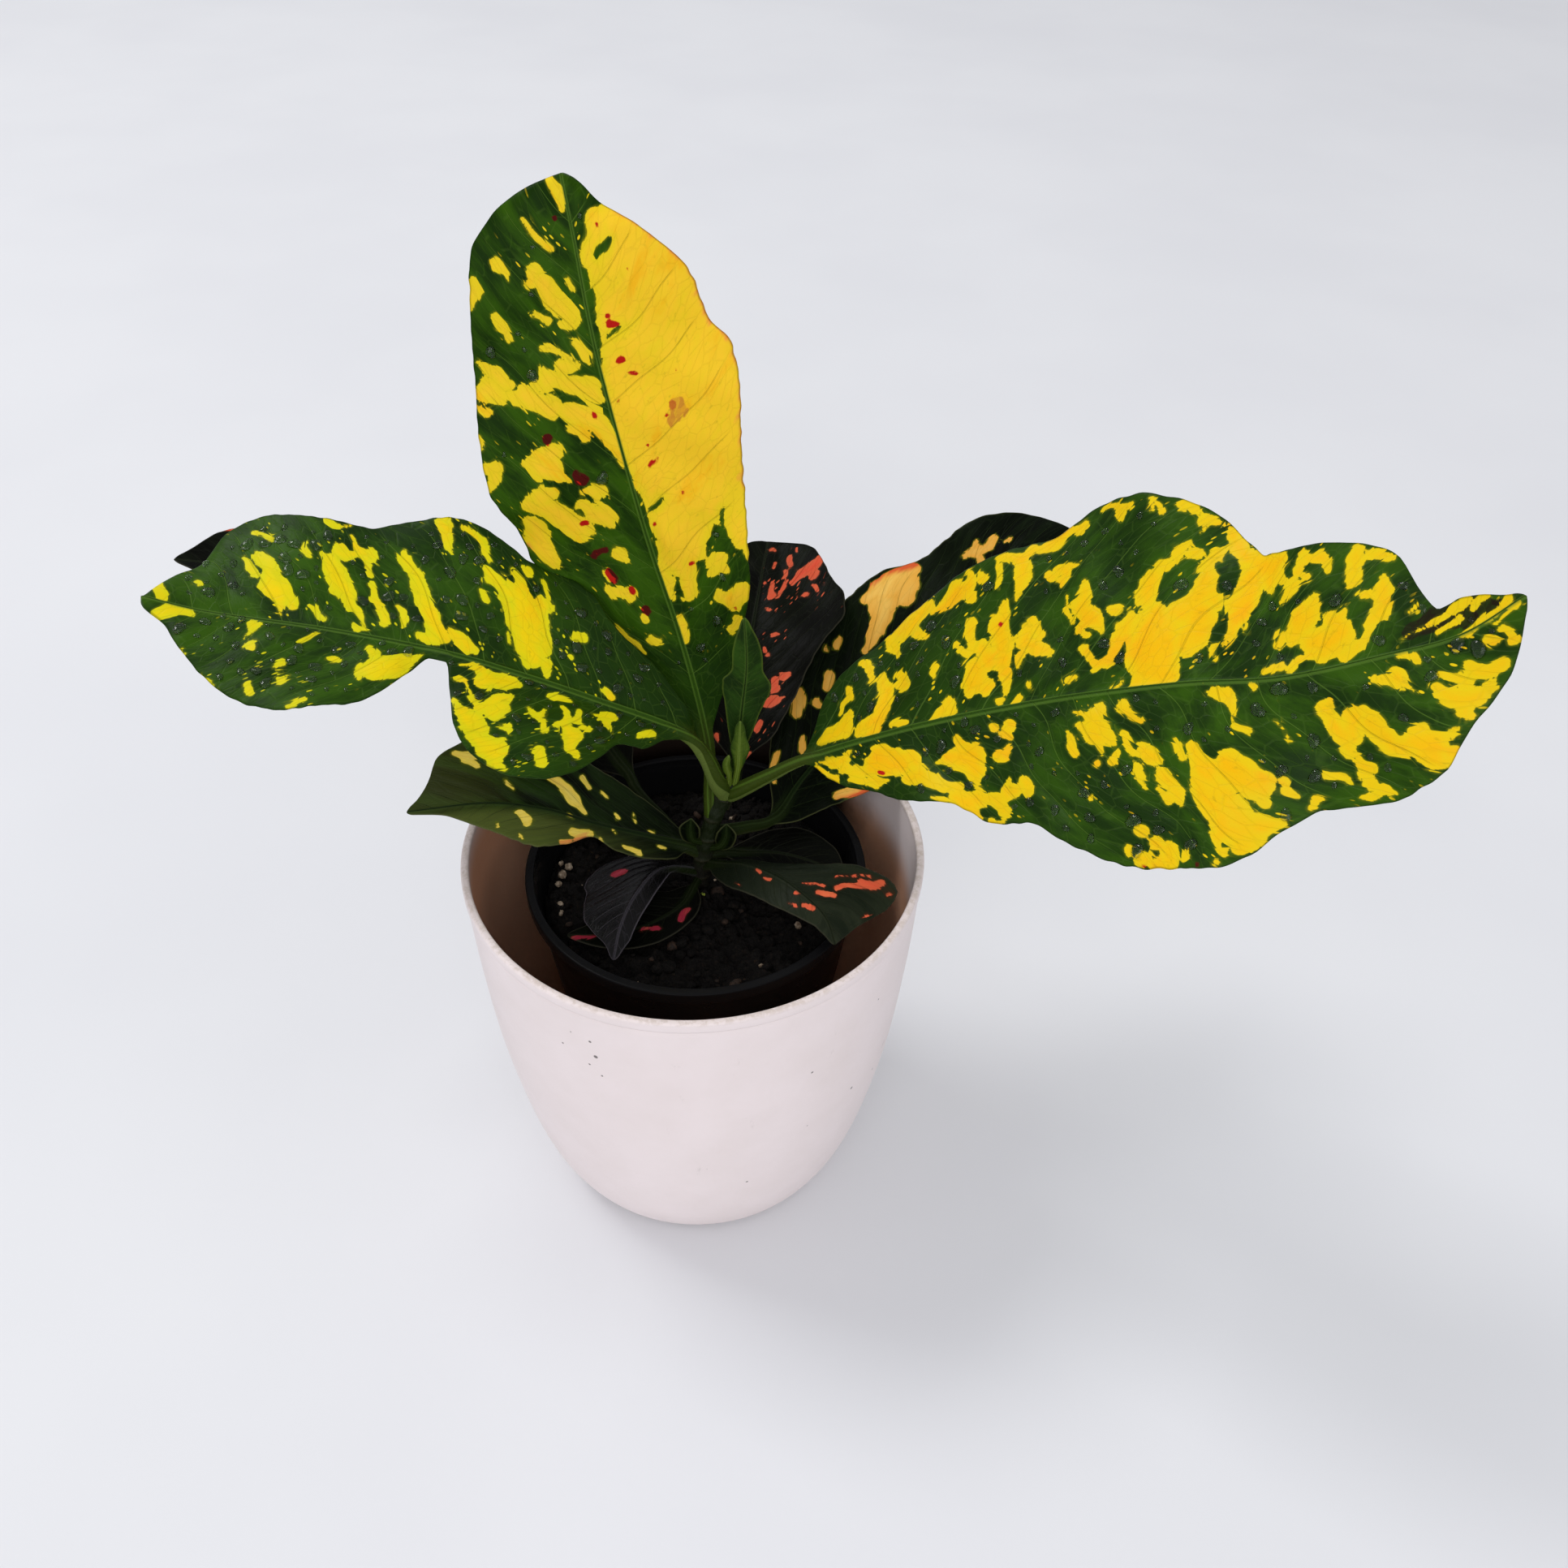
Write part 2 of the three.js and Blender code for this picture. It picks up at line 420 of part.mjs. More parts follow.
// Leaf with stalk, midrib and waved blade as one closed solid
function leaf({ stalk, face, route, outline, tilt, ripple }) {
  const curve = route3(route);
  const facing = vector(face).normalize();
  const full = outline[outline.length - 1][0];

  const place = (q, sign, outward) => {
    const half = sign < 0 ? 0 : 1;
    const along = curve.getTangentAt(q);
    const side = new THREE.Vector3().crossVectors(along, facing).normalize();
    const up = new THREE.Vector3().crossVectors(side, along);
    const rib = stalk * (1 - RIB.taper * q);
    const width = Math.max(through(outline, q * full, 1 + half), rib * 1.02);
    const inner = Math.min(rib, width / 2);
    const reach = [0, inner, (inner + width) / 2, width][outward];
    const angle = THREE.MathUtils.degToRad(through(tilt, q, 1 + half));
    const [waves, swing, start] = ripple[half];
    const spread = THREE.MathUtils.clamp((width - RIPPLE.from) / RIPPLE.over, 0, 1);
    const lift = (reach / width) ** 2
      * (through(tilt, q, 3 + half) + spread * swing * Math.sin(2 * Math.PI * (waves * q + start)));
    const normal = up.clone().multiplyScalar(Math.cos(angle))
      .addScaledVector(side, -sign * Math.sin(angle));
    const point = curve.getPointAt(q).addScaledVector(side, sign * reach * Math.cos(angle))
      .addScaledVector(up, reach * Math.sin(angle)).addScaledVector(normal, lift);
    const round = rib * Math.sqrt(Math.max(0, 1 - (reach / rib) ** 2));
    const blend = THREE.MathUtils.clamp((width - rib) / (RIB.flow * rib), 0, 1);
    const above = Math.max(BLADE / 2, round * (1 - (1 - RIB.top) * blend));
    const below = Math.max(BLADE / 2, round);
    const thick = outward === 0 ? up : normal;
    return [point.clone().addScaledVector(thick, above), point.addScaledVector(thick, -below)];
  };
  const rows = stations(outline, curve.getLength())
    .map((q) => COLUMNS.map(([sign, outward]) => place(q, sign, outward)));

  const columns = COLUMNS.length;
  const points = [0, 1].flatMap((faceOf) => rows.flatMap((row) => row.map((pair) => pair[faceOf])));
  const under = rows.length * columns;
  const at = (i, j) => i * columns + j;
  const faces = [];
  const quad = (a, b, c, d) => faces.push(a, b, c, a, c, d);
  const [last, edge] = [rows.length - 1, columns - 1];
  for (let i = 0; i < last; i += 1) {
    for (let j = 0; j < edge; j += 1) {
      const [a, b, c, d] = [at(i, j), at(i, j + 1), at(i + 1, j + 1), at(i + 1, j)];
      quad(a, b, c, d);
      faces.push(under + a, under + c, under + b, under + a, under + d, under + c);
    }
    quad(at(i, 0), at(i + 1, 0), under + at(i + 1, 0), under + at(i, 0));
    quad(at(i + 1, edge), at(i, edge), under + at(i, edge), under + at(i + 1, edge));
  }
  for (let j = 0; j < edge; j += 1) {
    quad(at(0, j + 1), at(0, j), under + at(0, j), under + at(0, j + 1));
    quad(at(last, j), at(last, j + 1), under + at(last, j + 1), under + at(last, j));
  }
  return meshOf(points, faces);
}

const part = new THREE.Group();
part.name = 'potted_croton';

function add(name, geometry, color, roughness) {
  const material = new THREE.MeshStandardMaterial({ color, roughness, metalness: 0 });
  const mesh = new THREE.Mesh(geometry, material);
  mesh.name = name;
  part.add(mesh);
}

add('cover_pot', coverPot(), COLOURS.cover, 0.55);
add('nursery_pot', nurseryPot(), COLOURS.nursery, 0.35);
add('soil', soil(), COLOURS.soil, 0.95);
add('stem', stem(), COLOURS.stem, 0.7);
const jacket = solid(stem(1.2 * GAP));
const stalkCutter = jacket.add(jacket.translate([0, 0, GAP]));
const largest = (made) => made.decompose().sort((a, b) => b.volume() - a.volume())[0];
for (const spec of LEAVES) {
  add(spec.name, geometryOf(largest(solid(leaf(spec)).subtract(stalkCutter))), spec.colour, 0.35);
}

export default part;
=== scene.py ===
"""A young croton in its black nursery pot, standing in a white cover pot.

Blender's units are metres, with +Z up and the origin at the centre of the cover pot's underside.
The sizes in the classes are millimetres, as they were measured. MM turns them into metres.
"""

from __future__ import annotations

import logging
import math
from dataclasses import dataclass, field, replace
from enum import Enum
from typing import Any, Optional, Sequence, Union

import bpy
import numpy as np
from mathutils import Matrix, Vector

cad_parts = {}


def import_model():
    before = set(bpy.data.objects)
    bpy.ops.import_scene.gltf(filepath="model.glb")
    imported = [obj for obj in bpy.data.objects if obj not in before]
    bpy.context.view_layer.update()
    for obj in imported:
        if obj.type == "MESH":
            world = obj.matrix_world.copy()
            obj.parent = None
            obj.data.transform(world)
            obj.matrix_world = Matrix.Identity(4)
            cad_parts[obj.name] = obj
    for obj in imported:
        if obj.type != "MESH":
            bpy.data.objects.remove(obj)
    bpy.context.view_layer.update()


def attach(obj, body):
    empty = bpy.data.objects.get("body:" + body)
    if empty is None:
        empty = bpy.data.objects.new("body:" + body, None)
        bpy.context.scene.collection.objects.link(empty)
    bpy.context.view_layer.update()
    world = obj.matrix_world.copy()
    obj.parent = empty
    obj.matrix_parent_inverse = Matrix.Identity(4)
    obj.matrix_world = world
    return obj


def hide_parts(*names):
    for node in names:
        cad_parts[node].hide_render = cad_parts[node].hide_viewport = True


LOG = logging.getLogger("potted_croton")
MM = 0.001
BODY = "root"

Colour = tuple[float, float, float]
Point = tuple[float, float, float]
Knots = Sequence[Sequence[float]]
Stroke = tuple[float, ...]
Spot = tuple[float, float, float]
Array = np.ndarray


class Slot(Enum):
    """Material slots of the record."""

    COVER_POT = "cover_pot"
    NURSERY_POT = "nursery_pot"
    SOIL = "soil"
    STEM = "stem"
    BLOTCHED_LEAF = "blotched_leaf"
    DARK_LEAF = "dark_leaf"
    FRESH_LEAF = "fresh_leaf"


class Side(Enum):
    """Half of a leaf, seen from above and looking to its tip."""

    LEFT = -1
    RIGHT = 1


class Tint(Enum):
    """What a mark on a leaf is made of."""

    BLOTCH = "blotch"
    ISLAND = "island"
    SPOT = "spot"
    SCAR = "scar"


class Value(Enum):
    """Numbers that a mesh carries at each vertex for its finish."""

    PLACE = "place"
    PAINT = "paint"
    EDGE = "edge"


@dataclass(frozen=True)
class Noise:
    """A cloudy pattern: repeats for each unit, number of finer layers and how strong they are."""

    scale: float
    detail: float = 3.0
    rough: float = 0.55


def seen(red: int, green: int, blue: int) -> Colour:
    """Linear colour of a surface that looks like this 8-bit colour in even light."""
    parts = (red / 255, green / 255, blue / 255)
    return tuple(((c + 0.055) / 1.055) ** 2.4 if c > 0.04 else c / 12.92 for c in parts)


def smooth(value: Array, low: float, high: float) -> Array:
    """Soft step from 0 at low to 1 at high."""
    part = np.clip((value - low) / (high - low), 0, 1)
    return part * part * (3 - 2 * part)


def unit(vectors: Array) -> Array:
    """The vectors at length 1."""
    return vectors / np.linalg.norm(vectors, axis=-1, keepdims=True)


# Shader maths


class Signal:
    """One output socket, with the arithmetic that shader expressions need."""

    def __init__(self, shader: Shader, socket: Optional[bpy.types.NodeSocket]) -> None:
        """Wraps a socket of the shader's nodes."""
        self.shader = shader
        self.socket = socket

    def other(self, output: str) -> Signal:
        """Another output of the same node."""
        return Signal(self.shader, self.socket.node.outputs[output])

    def __add__(self, value: Amount) -> Signal:
        """self + value."""
        return self.shader.maths("ADD", self, value)

    def __radd__(self, value: Amount) -> Signal:
        """value + self."""
        return self.shader.maths("ADD", value, self)

    def __sub__(self, value: Amount) -> Signal:
        """self - value."""
        return self.shader.maths("SUBTRACT", self, value)

    def __rsub__(self, value: Amount) -> Signal:
        """value - self."""
        return self.shader.maths("SUBTRACT", value, self)

    def __mul__(self, value: Amount) -> Signal:
        """self * value."""
        return self.shader.maths("MULTIPLY", self, value)

    def __rmul__(self, value: Amount) -> Signal:
        """value * self."""
        return self.shader.maths("MULTIPLY", value, self)

    def __abs__(self) -> Signal:
        """Size without sign."""
        return self.shader.maths("ABSOLUTE", self)

    def most(self, value: Amount) -> Signal:
        """The higher of the two."""
        return self.shader.maths("MAXIMUM", self, value)

    def fraction(self) -> Signal:
        """What is left above the next lower whole number."""
        return self.shader.maths("FRACT", self)

    def step(self, low: float, high: float, full: float = 1.0) -> Signal:
        """Soft step from 0 at low to full at high, which may be the smaller one."""
        settings = {"interpolation_type": "SMOOTHSTEP"}
        inputs = {"Value": self, "From Min": low, "From Max": high, "To Max": full}
        return self.shader.node("ShaderNodeMapRange", settings, inputs)


Amount = Union[float, Signal]
Paint = Union[Colour, Signal]


class Shader:
    """A material while its nodes are being made."""

    MIX_MASK, MIX_FIRST, MIX_SECOND = 0, 6, 7
    MIX_COLOUR = 2

    def __init__(self, name: str) -> None:
        """Starts an empty material."""
        self.material = bpy.data.materials.new(name)
        self.material.use_nodes = True
        self.tree = self.material.node_tree
        self.tree.nodes.clear()

    def node(self, kind: str, settings: dict[str, Any], inputs: dict[Any, Any], output: Any = 0) -> Signal:
        """Adds one node.

        Args:
            kind: The node's type.
            settings: Its settings, which are set first.
            inputs: A value or a link for each socket, by name or number.
            output: The output wanted, by name or number, or None on a node that has none.

        Returns:
            The wanted output.
        """
        made = self.tree.nodes.new(kind)
        for key, value in settings.items():
            setattr(made, key, value)
        for key, value in inputs.items():
            socket = made.inputs[key]
            if isinstance(value, Signal):
                self.tree.links.new(value.socket, socket)
            elif socket.type == "RGBA":
                socket.default_value = (*value, 1.0)
            else:
                socket.default_value = value
        return Signal(self, made.outputs[output] if output is not None else None)

    def maths(self, operation: str, *values: Amount) -> Signal:
        """One Math node on these values."""
        return self.node("ShaderNodeMath", {"operation": operation}, dict(enumerate(values)))

    def value(self, which: Value) -> Signal:
        """The vector that the mesh carries under this name."""
        return self.node("ShaderNodeAttribute", {"attribute_name": which.value}, {}, "Vector")

    def split(self, vector: Signal) -> tuple[Signal, Signal, Signal]:
        """The three parts of a vector."""
        first = self.node("ShaderNodeSeparateXYZ", {}, {"Vector": vector}, "X")
        return first, first.other("Y"), first.other("Z")

    def joined(self, x: Amount, y: Amount, z: Amount) -> Signal:
        """A vector of three parts."""
        return self.node("ShaderNodeCombineXYZ", {}, {"X": x, "Y": y, "Z": z})

    def place(self) -> Signal:
        """The point on the surface, in millimetres."""
        here = self.node("ShaderNodeTexCoord", {}, {}, "Object")
        inputs = {"Vector": here, "Scale": 1 / MM}
        return self.node("ShaderNodeVectorMath", {"operation": "SCALE"}, inputs)

    def length(self, vector: Signal) -> Signal:
        """How long a vector is."""
        return self.node("ShaderNodeVectorMath", {"operation": "LENGTH"}, {"Vector": vector}, "Value")

    def noise(self, at: Signal, noise: Noise) -> Signal:
        """Cloudy values round 0.5 at a vector."""
        inputs = {"Vector": at, "Scale": noise.scale, "Detail": noise.detail, "Roughness": noise.rough}
        return self.node("ShaderNodeTexNoise", {}, inputs)

    def cells(self, at: Signal, scale: float, feature: str = "F1") -> Signal:
        """Distances to random points, whose Color output is random for each cell."""
        inputs = {"Vector": at, "Scale": scale}
        return self.node("ShaderNodeTexVoronoi", {"feature": feature}, inputs, "Distance")

    def draw(self, cell: Signal) -> Signal:
        """A random number for each cell."""
        return self.split(cell.other("Color"))[0]

    def blend(self, mask: Amount, first: Paint, second: Paint) -> Signal:
        """A colour that goes from the first to the second as the mask goes from 0 to 1."""
        inputs = {self.MIX_MASK: mask, self.MIX_FIRST: first, self.MIX_SECOND: second}
        return self.node("ShaderNodeMix", {"data_type": "RGBA"}, inputs, self.MIX_COLOUR)

    def bump(self, height: Signal) -> Signal:
        """A normal that follows a height in millimetres."""
        return self.node("ShaderNodeBump", {}, {"Height": height, "Distance": MM, "Strength": 1.0})

    def finish(self, sockets: dict[str, Any]) -> bpy.types.Material:
        """Ends the material with a surface shader that has these values."""
        surface = self.node("ShaderNodeBsdfPrincipled", {}, sockets)
        self.node("ShaderNodeOutputMaterial", {}, {"Surface": surface}, None)
        return self.material


# Meshes


def placed(name: str, data: bpy.types.ID) -> bpy.types.Object:
    """A new object with this data, in the scene."""
    made = bpy.data.objects.new(name, data)
    bpy.context.scene.collection.objects.link(made)
    return made


def full_turn(steps: int) -> Array:
    """Angles of this many equal steps round a circle."""
    return math.tau * np.arange(steps) / steps


def walked(line: Array) -> Array:
    """The length of a line up to each of its points."""
    return np.concatenate([[0], np.cumsum(np.linalg.norm(np.diff(line, axis=0), axis=1))])


@dataclass
class Form:
    """Points, faces and vertex values of a piece, in millimetres."""

    points: Array
    faces: list[list[int]]
    values: dict[Value, Array] = field(default_factory=dict)

    @staticmethod
    def joined(forms: Sequence[Form]) -> Form:
        """Several forms as one."""
        starts = np.cumsum([0] + [len(form.points) for form in forms])
        points = np.concatenate([form.points for form in forms])
        faces = [[int(start) + k for k in face] for form, start in zip(forms, starts) for face in form.faces]
        values = {key: np.concatenate([form.values[key] for form in forms]) for key in forms[0].values}
        return Form(points, faces, values)

    def mesh(self, name: str) -> bpy.types.Mesh:
        """The points and faces as a mesh in metres."""
        mesh = bpy.data.meshes.new(name)
        mesh.from_pydata((self.points * MM).tolist(), [], self.faces)
        return mesh

    def piece(self, name: str, slot: Slot, material: bpy.types.Material, *nodes: str) -> bpy.types.Object:
        """Makes the object and fastens it to the part.

        Args:
            name: The piece's name.
            slot: The record's slot for the piece; not used.
            material: Its material.
            nodes: The CAD nodes that it stands for.

        Returns:
            The object.
        """
        mesh = self.mesh(name)
        for key, numbers in self.values.items():
            layer = mesh.attributes.new(key.value, "FLOAT_VECTOR", "POINT")
            layer.data.foreach_set("vector", np.ascontiguousarray(numbers, dtype=np.float32).ravel())
        mesh.polygons.foreach_set("use_smooth", np.ones(len(mesh.polygons), dtype=bool))
        mesh.materials.append(material)
        made = placed(name, mesh)
        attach(made, BODY)
        if nodes:
            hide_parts(*nodes)
        LOG.info("%s: %d faces", name, len(mesh.polygons))
        return made


def sheet_faces(rows: int, columns: int, closed: bool = False) -> Array:
    """Squares between the points of a grid.

    Args:
        rows: Number of rows.
        columns: Number of points in each row.
        closed: Whether the last column meets the first.

    Returns:
        Four point numbers a face.
    """
    across = columns if closed else columns - 1
    i, j = np.meshgrid(np.arange(rows - 1), np.arange(across), indexing="ij")
    k = (j + 1) % columns
    corners = (i * columns + j, i * columns + k, (i + 1) * columns + k, (i + 1) * columns + j)
    return np.stack(corners, -1).reshape(-1, 4)


def tube_faces(rows: int, turns: int) -> list[list[int]]:
    """Faces of a closed tube of rings, with a flat cap on its first and its last ring."""
    first, last = list(range(turns)), [(rows - 1) * turns + k for k in range(turns)]
    return [*sheet_faces(rows, turns, closed=True).tolist(), first[::-1], last]


class Wander:
    """Smooth random wandering between about -1 and 1, the same each run."""

    WAVES = 9
    SPREAD = (0.6, 1.7)
    CALM = 0.7

    def __init__(self, seed: int, wavelength: float, dimensions: int = 2) -> None:
        """Draws the waves.

        Args:
            seed: Seed of the draws.
            wavelength: Middle length of the waves.
            dimensions: Number of coordinates.
        """
        draw = np.random.default_rng(seed)
        ways = unit(draw.normal(size=(self.WAVES, dimensions)))
        lengths = wavelength * draw.uniform(*self.SPREAD, self.WAVES)
        self.waves = math.tau * ways / lengths[:, None]
        self.starts = draw.uniform(0, math.tau, self.WAVES)

    def at(self, *places: Array) -> Array:
        """The wandering at these coordinates."""
        spots = np.stack(np.broadcast_arrays(*places), -1)
        return np.sin(spots @ self.waves.T + self.starts).sum(-1) * math.sqrt(2 / self.WAVES) * self.CALM


class Route:
    """Smooth curve through points, walked by its length."""

    PARTS = 120
    REACH = 0.002

    def __init__(self, points: Sequence[Point]) -> None:
        """Measures the curve."""
        knots = np.array(points, dtype=float)
        self.knots = np.vstack([2 * knots[0] - knots[1], knots, 2 * knots[-1] - knots[-2]])
        self.spans = len(knots) - 1
        self.steps = np.linspace(0, self.spans, self.PARTS * self.spans + 1)
        self.lengths = walked(self.spot(self.steps))
        self.length = float(self.lengths[-1])

    def spot(self, steps: Array) -> Array:
        """Points at these numbers of knots along."""
        k = np.minimum(steps.astype(int), self.spans - 1)
        w = (steps - k)[:, None]
        a, b, c, d = (self.knots[k + part] for part in range(4))
        bend = (2 * a - 5 * b + 4 * c - d) * w**2
        return 0.5 * (2 * b + (c - a) * w + bend + (3 * b - a - 3 * c + d) * w**3)

    def at(self, share: Array) -> Array:
        """Points at these shares of the length."""
        return self.spot(np.interp(share * self.length, self.lengths, self.steps))

    def along(self, share: Array) -> Array:
        """Directions of travel at these shares of the length."""
        ahead, behind = np.clip(share + self.REACH, 0, 1), np.clip(share - self.REACH, 0, 1)
        return unit(self.at(ahead) - self.at(behind))


def through(knots: Knots, at: Array, column: int = 1) -> Array:
    """Values of a smooth curve that never overshoots its knots.

    Args:
        knots: Rows of a place and the values there.
        at: Places asked for.
        column: Which value of the rows.

    Returns:
        The values.
    """
    table = np.array(knots, dtype=float)
    x, y = table[:, 0], table[:, column]
    gaps = np.diff(x)
    slopes = np.diff(y) / gaps
    before, after = slopes[:-1], slopes[1:]
    same = before * after > 0
    inner = np.where(same, 2 * before * after / np.where(same, before + after, 1), 0)
    grades = np.concatenate([[slopes[0]], inner, [slopes[-1]]])
    at = np.clip(at, x[0], x[-1])
    k = np.clip(np.searchsorted(x, at, side="right") - 1, 0, len(x) - 2)
    w = (at - x[k]) / gaps[k]
    start = (1 + 2 * w) * (1 - w) ** 2 * y[k] + w * (1 - w) ** 2 * gaps[k] * grades[k]
    return start + w * w * (3 - 2 * w) * y[k + 1] + w * w * (w - 1) * gaps[k] * grades[k + 1]


def turned(profile: Array, turns: int, centre: tuple[float, float] = (0, 0)) -> Form:
    """Body of revolution whose profile starts and ends on the axis.

    Args:
        profile: Rows of radius and height, from the underside outwards and back in.
        turns: Number of steps round.
        centre: Where the axis stands.

    Returns:
        The closed form, which carries its profile length, turn and height as PLACE.
    """
    angles = full_turn(turns)
    rings = profile[1:-1]
    x = centre[0] + rings[:, :1] * np.cos(angles)
    y = centre[1] + rings[:, :1] * np.sin(angles)
    z = np.repeat(rings[:, 1:], turns, axis=1)
    ends = [[*centre, profile[0, 1]], [*centre, profile[-1, 1]]]
    points = np.vstack([np.stack([x, y, z], -1).reshape(-1, 3), ends])
    faces = sheet_faces(len(rings), turns, closed=True).tolist()
    top = (len(rings) - 1) * turns
    for k in range(turns):
        following = (k + 1) % turns
        faces.append([len(points) - 2, following, k])
        faces.append([len(points) - 1, top + k, top + following])
    walk = walked(profile)
    at = np.concatenate([np.repeat(walk[1:-1], turns), walk[[0, -1]]])
    around = np.concatenate([np.tile(angles, len(rings)), [0, 0]])
    return Form(points, faces, {Value.PLACE: np.stack([at, around, points[:, 2]], -1)})


# Finishes. A mask is given by where it is 0, where it is full, and how strong it is there.


class LeafSurface:
    """Vertex values and patterns of a leaf's skin, which its paint is mixed from."""

    SQUEEZED = 0.85
    HALF_SHIFT = 60.0
    SEED_SHIFT = 7.0
    AT_RIB = (-0.1, 0.1)
    PATCHES = 0.3
    CRUMBS = 0.9
    CLOUD = Noise(0.3, 4.0)
    MOTTLE = Noise(0.09, 5.0, 0.6)
    FINE = Noise(1.6)
    NET_LINE = (0.05, 0.01)
    VEIN_LINE = (0.26, 0.08)
    VEIN_END = (1.0, 6.0)

    def __init__(self, leaf: Leaf) -> None:
        """Reads the leaf's mesh and lays the patterns along its side veins."""
        shader = Shader(leaf.name)
        self.leaf, self.shader = leaf, shader
        self.along, self.across, veins = shader.split(shader.value(Value.PLACE))
        self.blotch, self.spot, self.scar = shader.split(shader.value(Value.PAINT))
        self.rim, self.upper, self.blush = shader.split(shader.value(Value.EDGE))
        self.out = abs(self.across)
        shift = self.across.step(*self.AT_RIB) * self.HALF_SHIFT + leaf.seed * self.SEED_SHIFT
        self.grain = shader.joined(self.out * self.SQUEEZED, veins * leaf.pitch, shift)
        self.patches = shader.draw(shader.cells(self.grain, self.PATCHES))
        self.crumb = shader.cells(self.grain, self.CRUMBS)
        self.crumbs = shader.draw(self.crumb)
        self.cloud = shader.noise(self.grain, self.CLOUD)
        self.mottle = shader.noise(self.grain, self.MOTTLE)
        self.fine = shader.noise(self.grain, self.FINE)
        self.net = shader.cells(self.grain, self.PATCHES, "DISTANCE_TO_EDGE").step(*self.NET_LINE)
        off_vein = abs((veins + 0.5).fraction() - 0.5) * leaf.pitch
        self.vein = off_vein.step(*self.VEIN_LINE) * self.rim.step(*self.VEIN_END)


@dataclass(frozen=True)
class LeafFinish:
    """Colours and gloss of a leaf.

    The blotches run from blotch_rim to blotch, with amber and olive in them, and blush at the margin.
    The shaded end is how far painted shade of the crown reaches along the blade; lit is painted light.
    """

    green: Colour
    deep: Colour
    blotch: Colour
    blotch_rim: Colour
    rib: Colour
    stalk: Colour
    vein: Colour
    under: Colour
    slot: Slot = Slot.DARK_LEAF
    # The margin colour: a dark outline on the blotched leaves, and on the dark leaves a paler painted
    # highlight along the edge.
    margin: Colour = seen(22, 45, 6)
    red: Colour = seen(176, 26, 18)
    maroon: Colour = seen(74, 16, 13)
    scar: Colour = seen(196, 128, 44)
    scar_share: float = 0.75
    scar_below: float = 0.0
    blush: Colour = seen(232, 120, 70)
    olive: Colour = seen(104, 112, 16)
    amber: Colour = seen(238, 164, 14)
    mottled: float = 0.55
    rib_share: float = 0.5
    shaded_end: float = 75.0
    # Painted light on the half of the blade that faces the lamps, and at its tip, as strong as lit_share.
    lit: Colour = seen(94, 104, 48)
    lit_share: float = 0.0
    swell: float = 0.0
    straying: float = 1.0
    flecks: float = 1.0
    roughness: float = 0.38
    shine: float = 0.07

    PATCH_STRAY = 0.9
    CRUMB_STRAY = 0.25
    BLOTCH_EDGE = (-0.12, 0.14)
    HALO = (-0.6, 0.0, 0.55)
    FLECK_REACH = (-7.0, -1.0)
    FLECK_GROUPS = Noise(0.13, 2.0)
    FLECK_GROUP = (0.5, 0.58)
    FLECK_DRAW = (0.85, 0.88)
    FLECK_SIZE = (0.42, 0.3)
    GREEN_MOTTLE = (0.36, 0.64)
    SHADE_STRAY = 20.0
    SHADED = 0.9
    LIT_TIP = (0.6, 0.85)
    LIT_TIP_SHARE = 0.35
    LIT_HALF = (0.5, -4.0)
    NET_SHARE = 0.1
    VEIN_SHARE = 0.4
    RIPE = (-0.5, 3.0, 0.8)
    PALE_MOTTLE = (0.5, 0.68)
    AMBER_MOTTLE = (0.46, 0.3)
    STAINS = Noise(0.55, 4.0, 0.6)
    STAIN = (0.6, 0.74, 0.25)
    GOLD_NET_SHARE = 0.07
    GOLD_VEIN_SHARE = 0.22
    BLUSH_STRAY = 5.0
    BLUSHED = (0.0, 2.5, 0.85)
    SPOT_STRAY = 1.6
    SPOT_EDGE = (-0.15, 0.25)
    SCAR_STRAY = 3.0
    SCAR_EDGE = (-0.1, 0.5)
    SCAR_CRUMBS = 0.4
    MARGIN = (0.6, 0.1, 0.5)
    RIB_EDGE = (0.1, -0.2)
    # Painted highlight: pale lines along both edges of the midrib.
    RIB_LINE = (0.35, 0.08, 0.4)
    STALK_END = (12, -4)
    UNDER_SHARE = 0.62

    def blotched(self, skin: LeafSurface) -> tuple[Signal, Signal]:
        """Where the skin is blotched, and the halo round it."""
        stray = (skin.patches - 0.5) * self.PATCH_STRAY + (skin.crumbs - 0.5) * self.CRUMB_STRAY
        reach = skin.blotch + (stray + (skin.cloud - 0.5)) * self.straying + self.swell
        groups = skin.shader.noise(skin.grain, self.FLECK_GROUPS).step(*self.FLECK_GROUP)
        near = skin.blotch.step(*self.FLECK_REACH) * groups
        fleck = skin.crumbs.step(*self.FLECK_DRAW) * skin.crumb.step(*self.FLECK_SIZE) * near * self.flecks
        return reach.step(*self.BLOTCH_EDGE).most(fleck), reach.step(*self.HALO)

    def leafy(self, skin: LeafSurface) -> Signal:
        """The green of the blade with its net and side veins, painted shade toward the crown and painted
        light on its lit half.
        """
        leaf, blend = skin.leaf, skin.shader.blend
        green = blend(skin.mottle.step(*self.GREEN_MOTTLE), self.deep, self.green)
        # Painted shade: the blade darkens toward the crown.
        shade = skin.along + (skin.cloud - 0.5) * self.SHADE_STRAY
        shaded = shade.step(leaf.bare + self.shaded_end, leaf.bare)
        green = blend(shaded * self.SHADED, green, self.deep)
        # Painted light: the left half and the tip turn paler.
        if self.lit_share:
            tip = skin.along.step(*(leaf.length * share for share in self.LIT_TIP)) * self.LIT_TIP_SHARE
            facing = skin.across.step(*self.LIT_HALF).most(tip) * (1 - shaded)
            green = blend(facing * self.lit_share, green, self.lit)
        green = blend(skin.net * self.NET_SHARE, green, self.vein)
        return blend(skin.vein * self.VEIN_SHARE, green, self.vein)

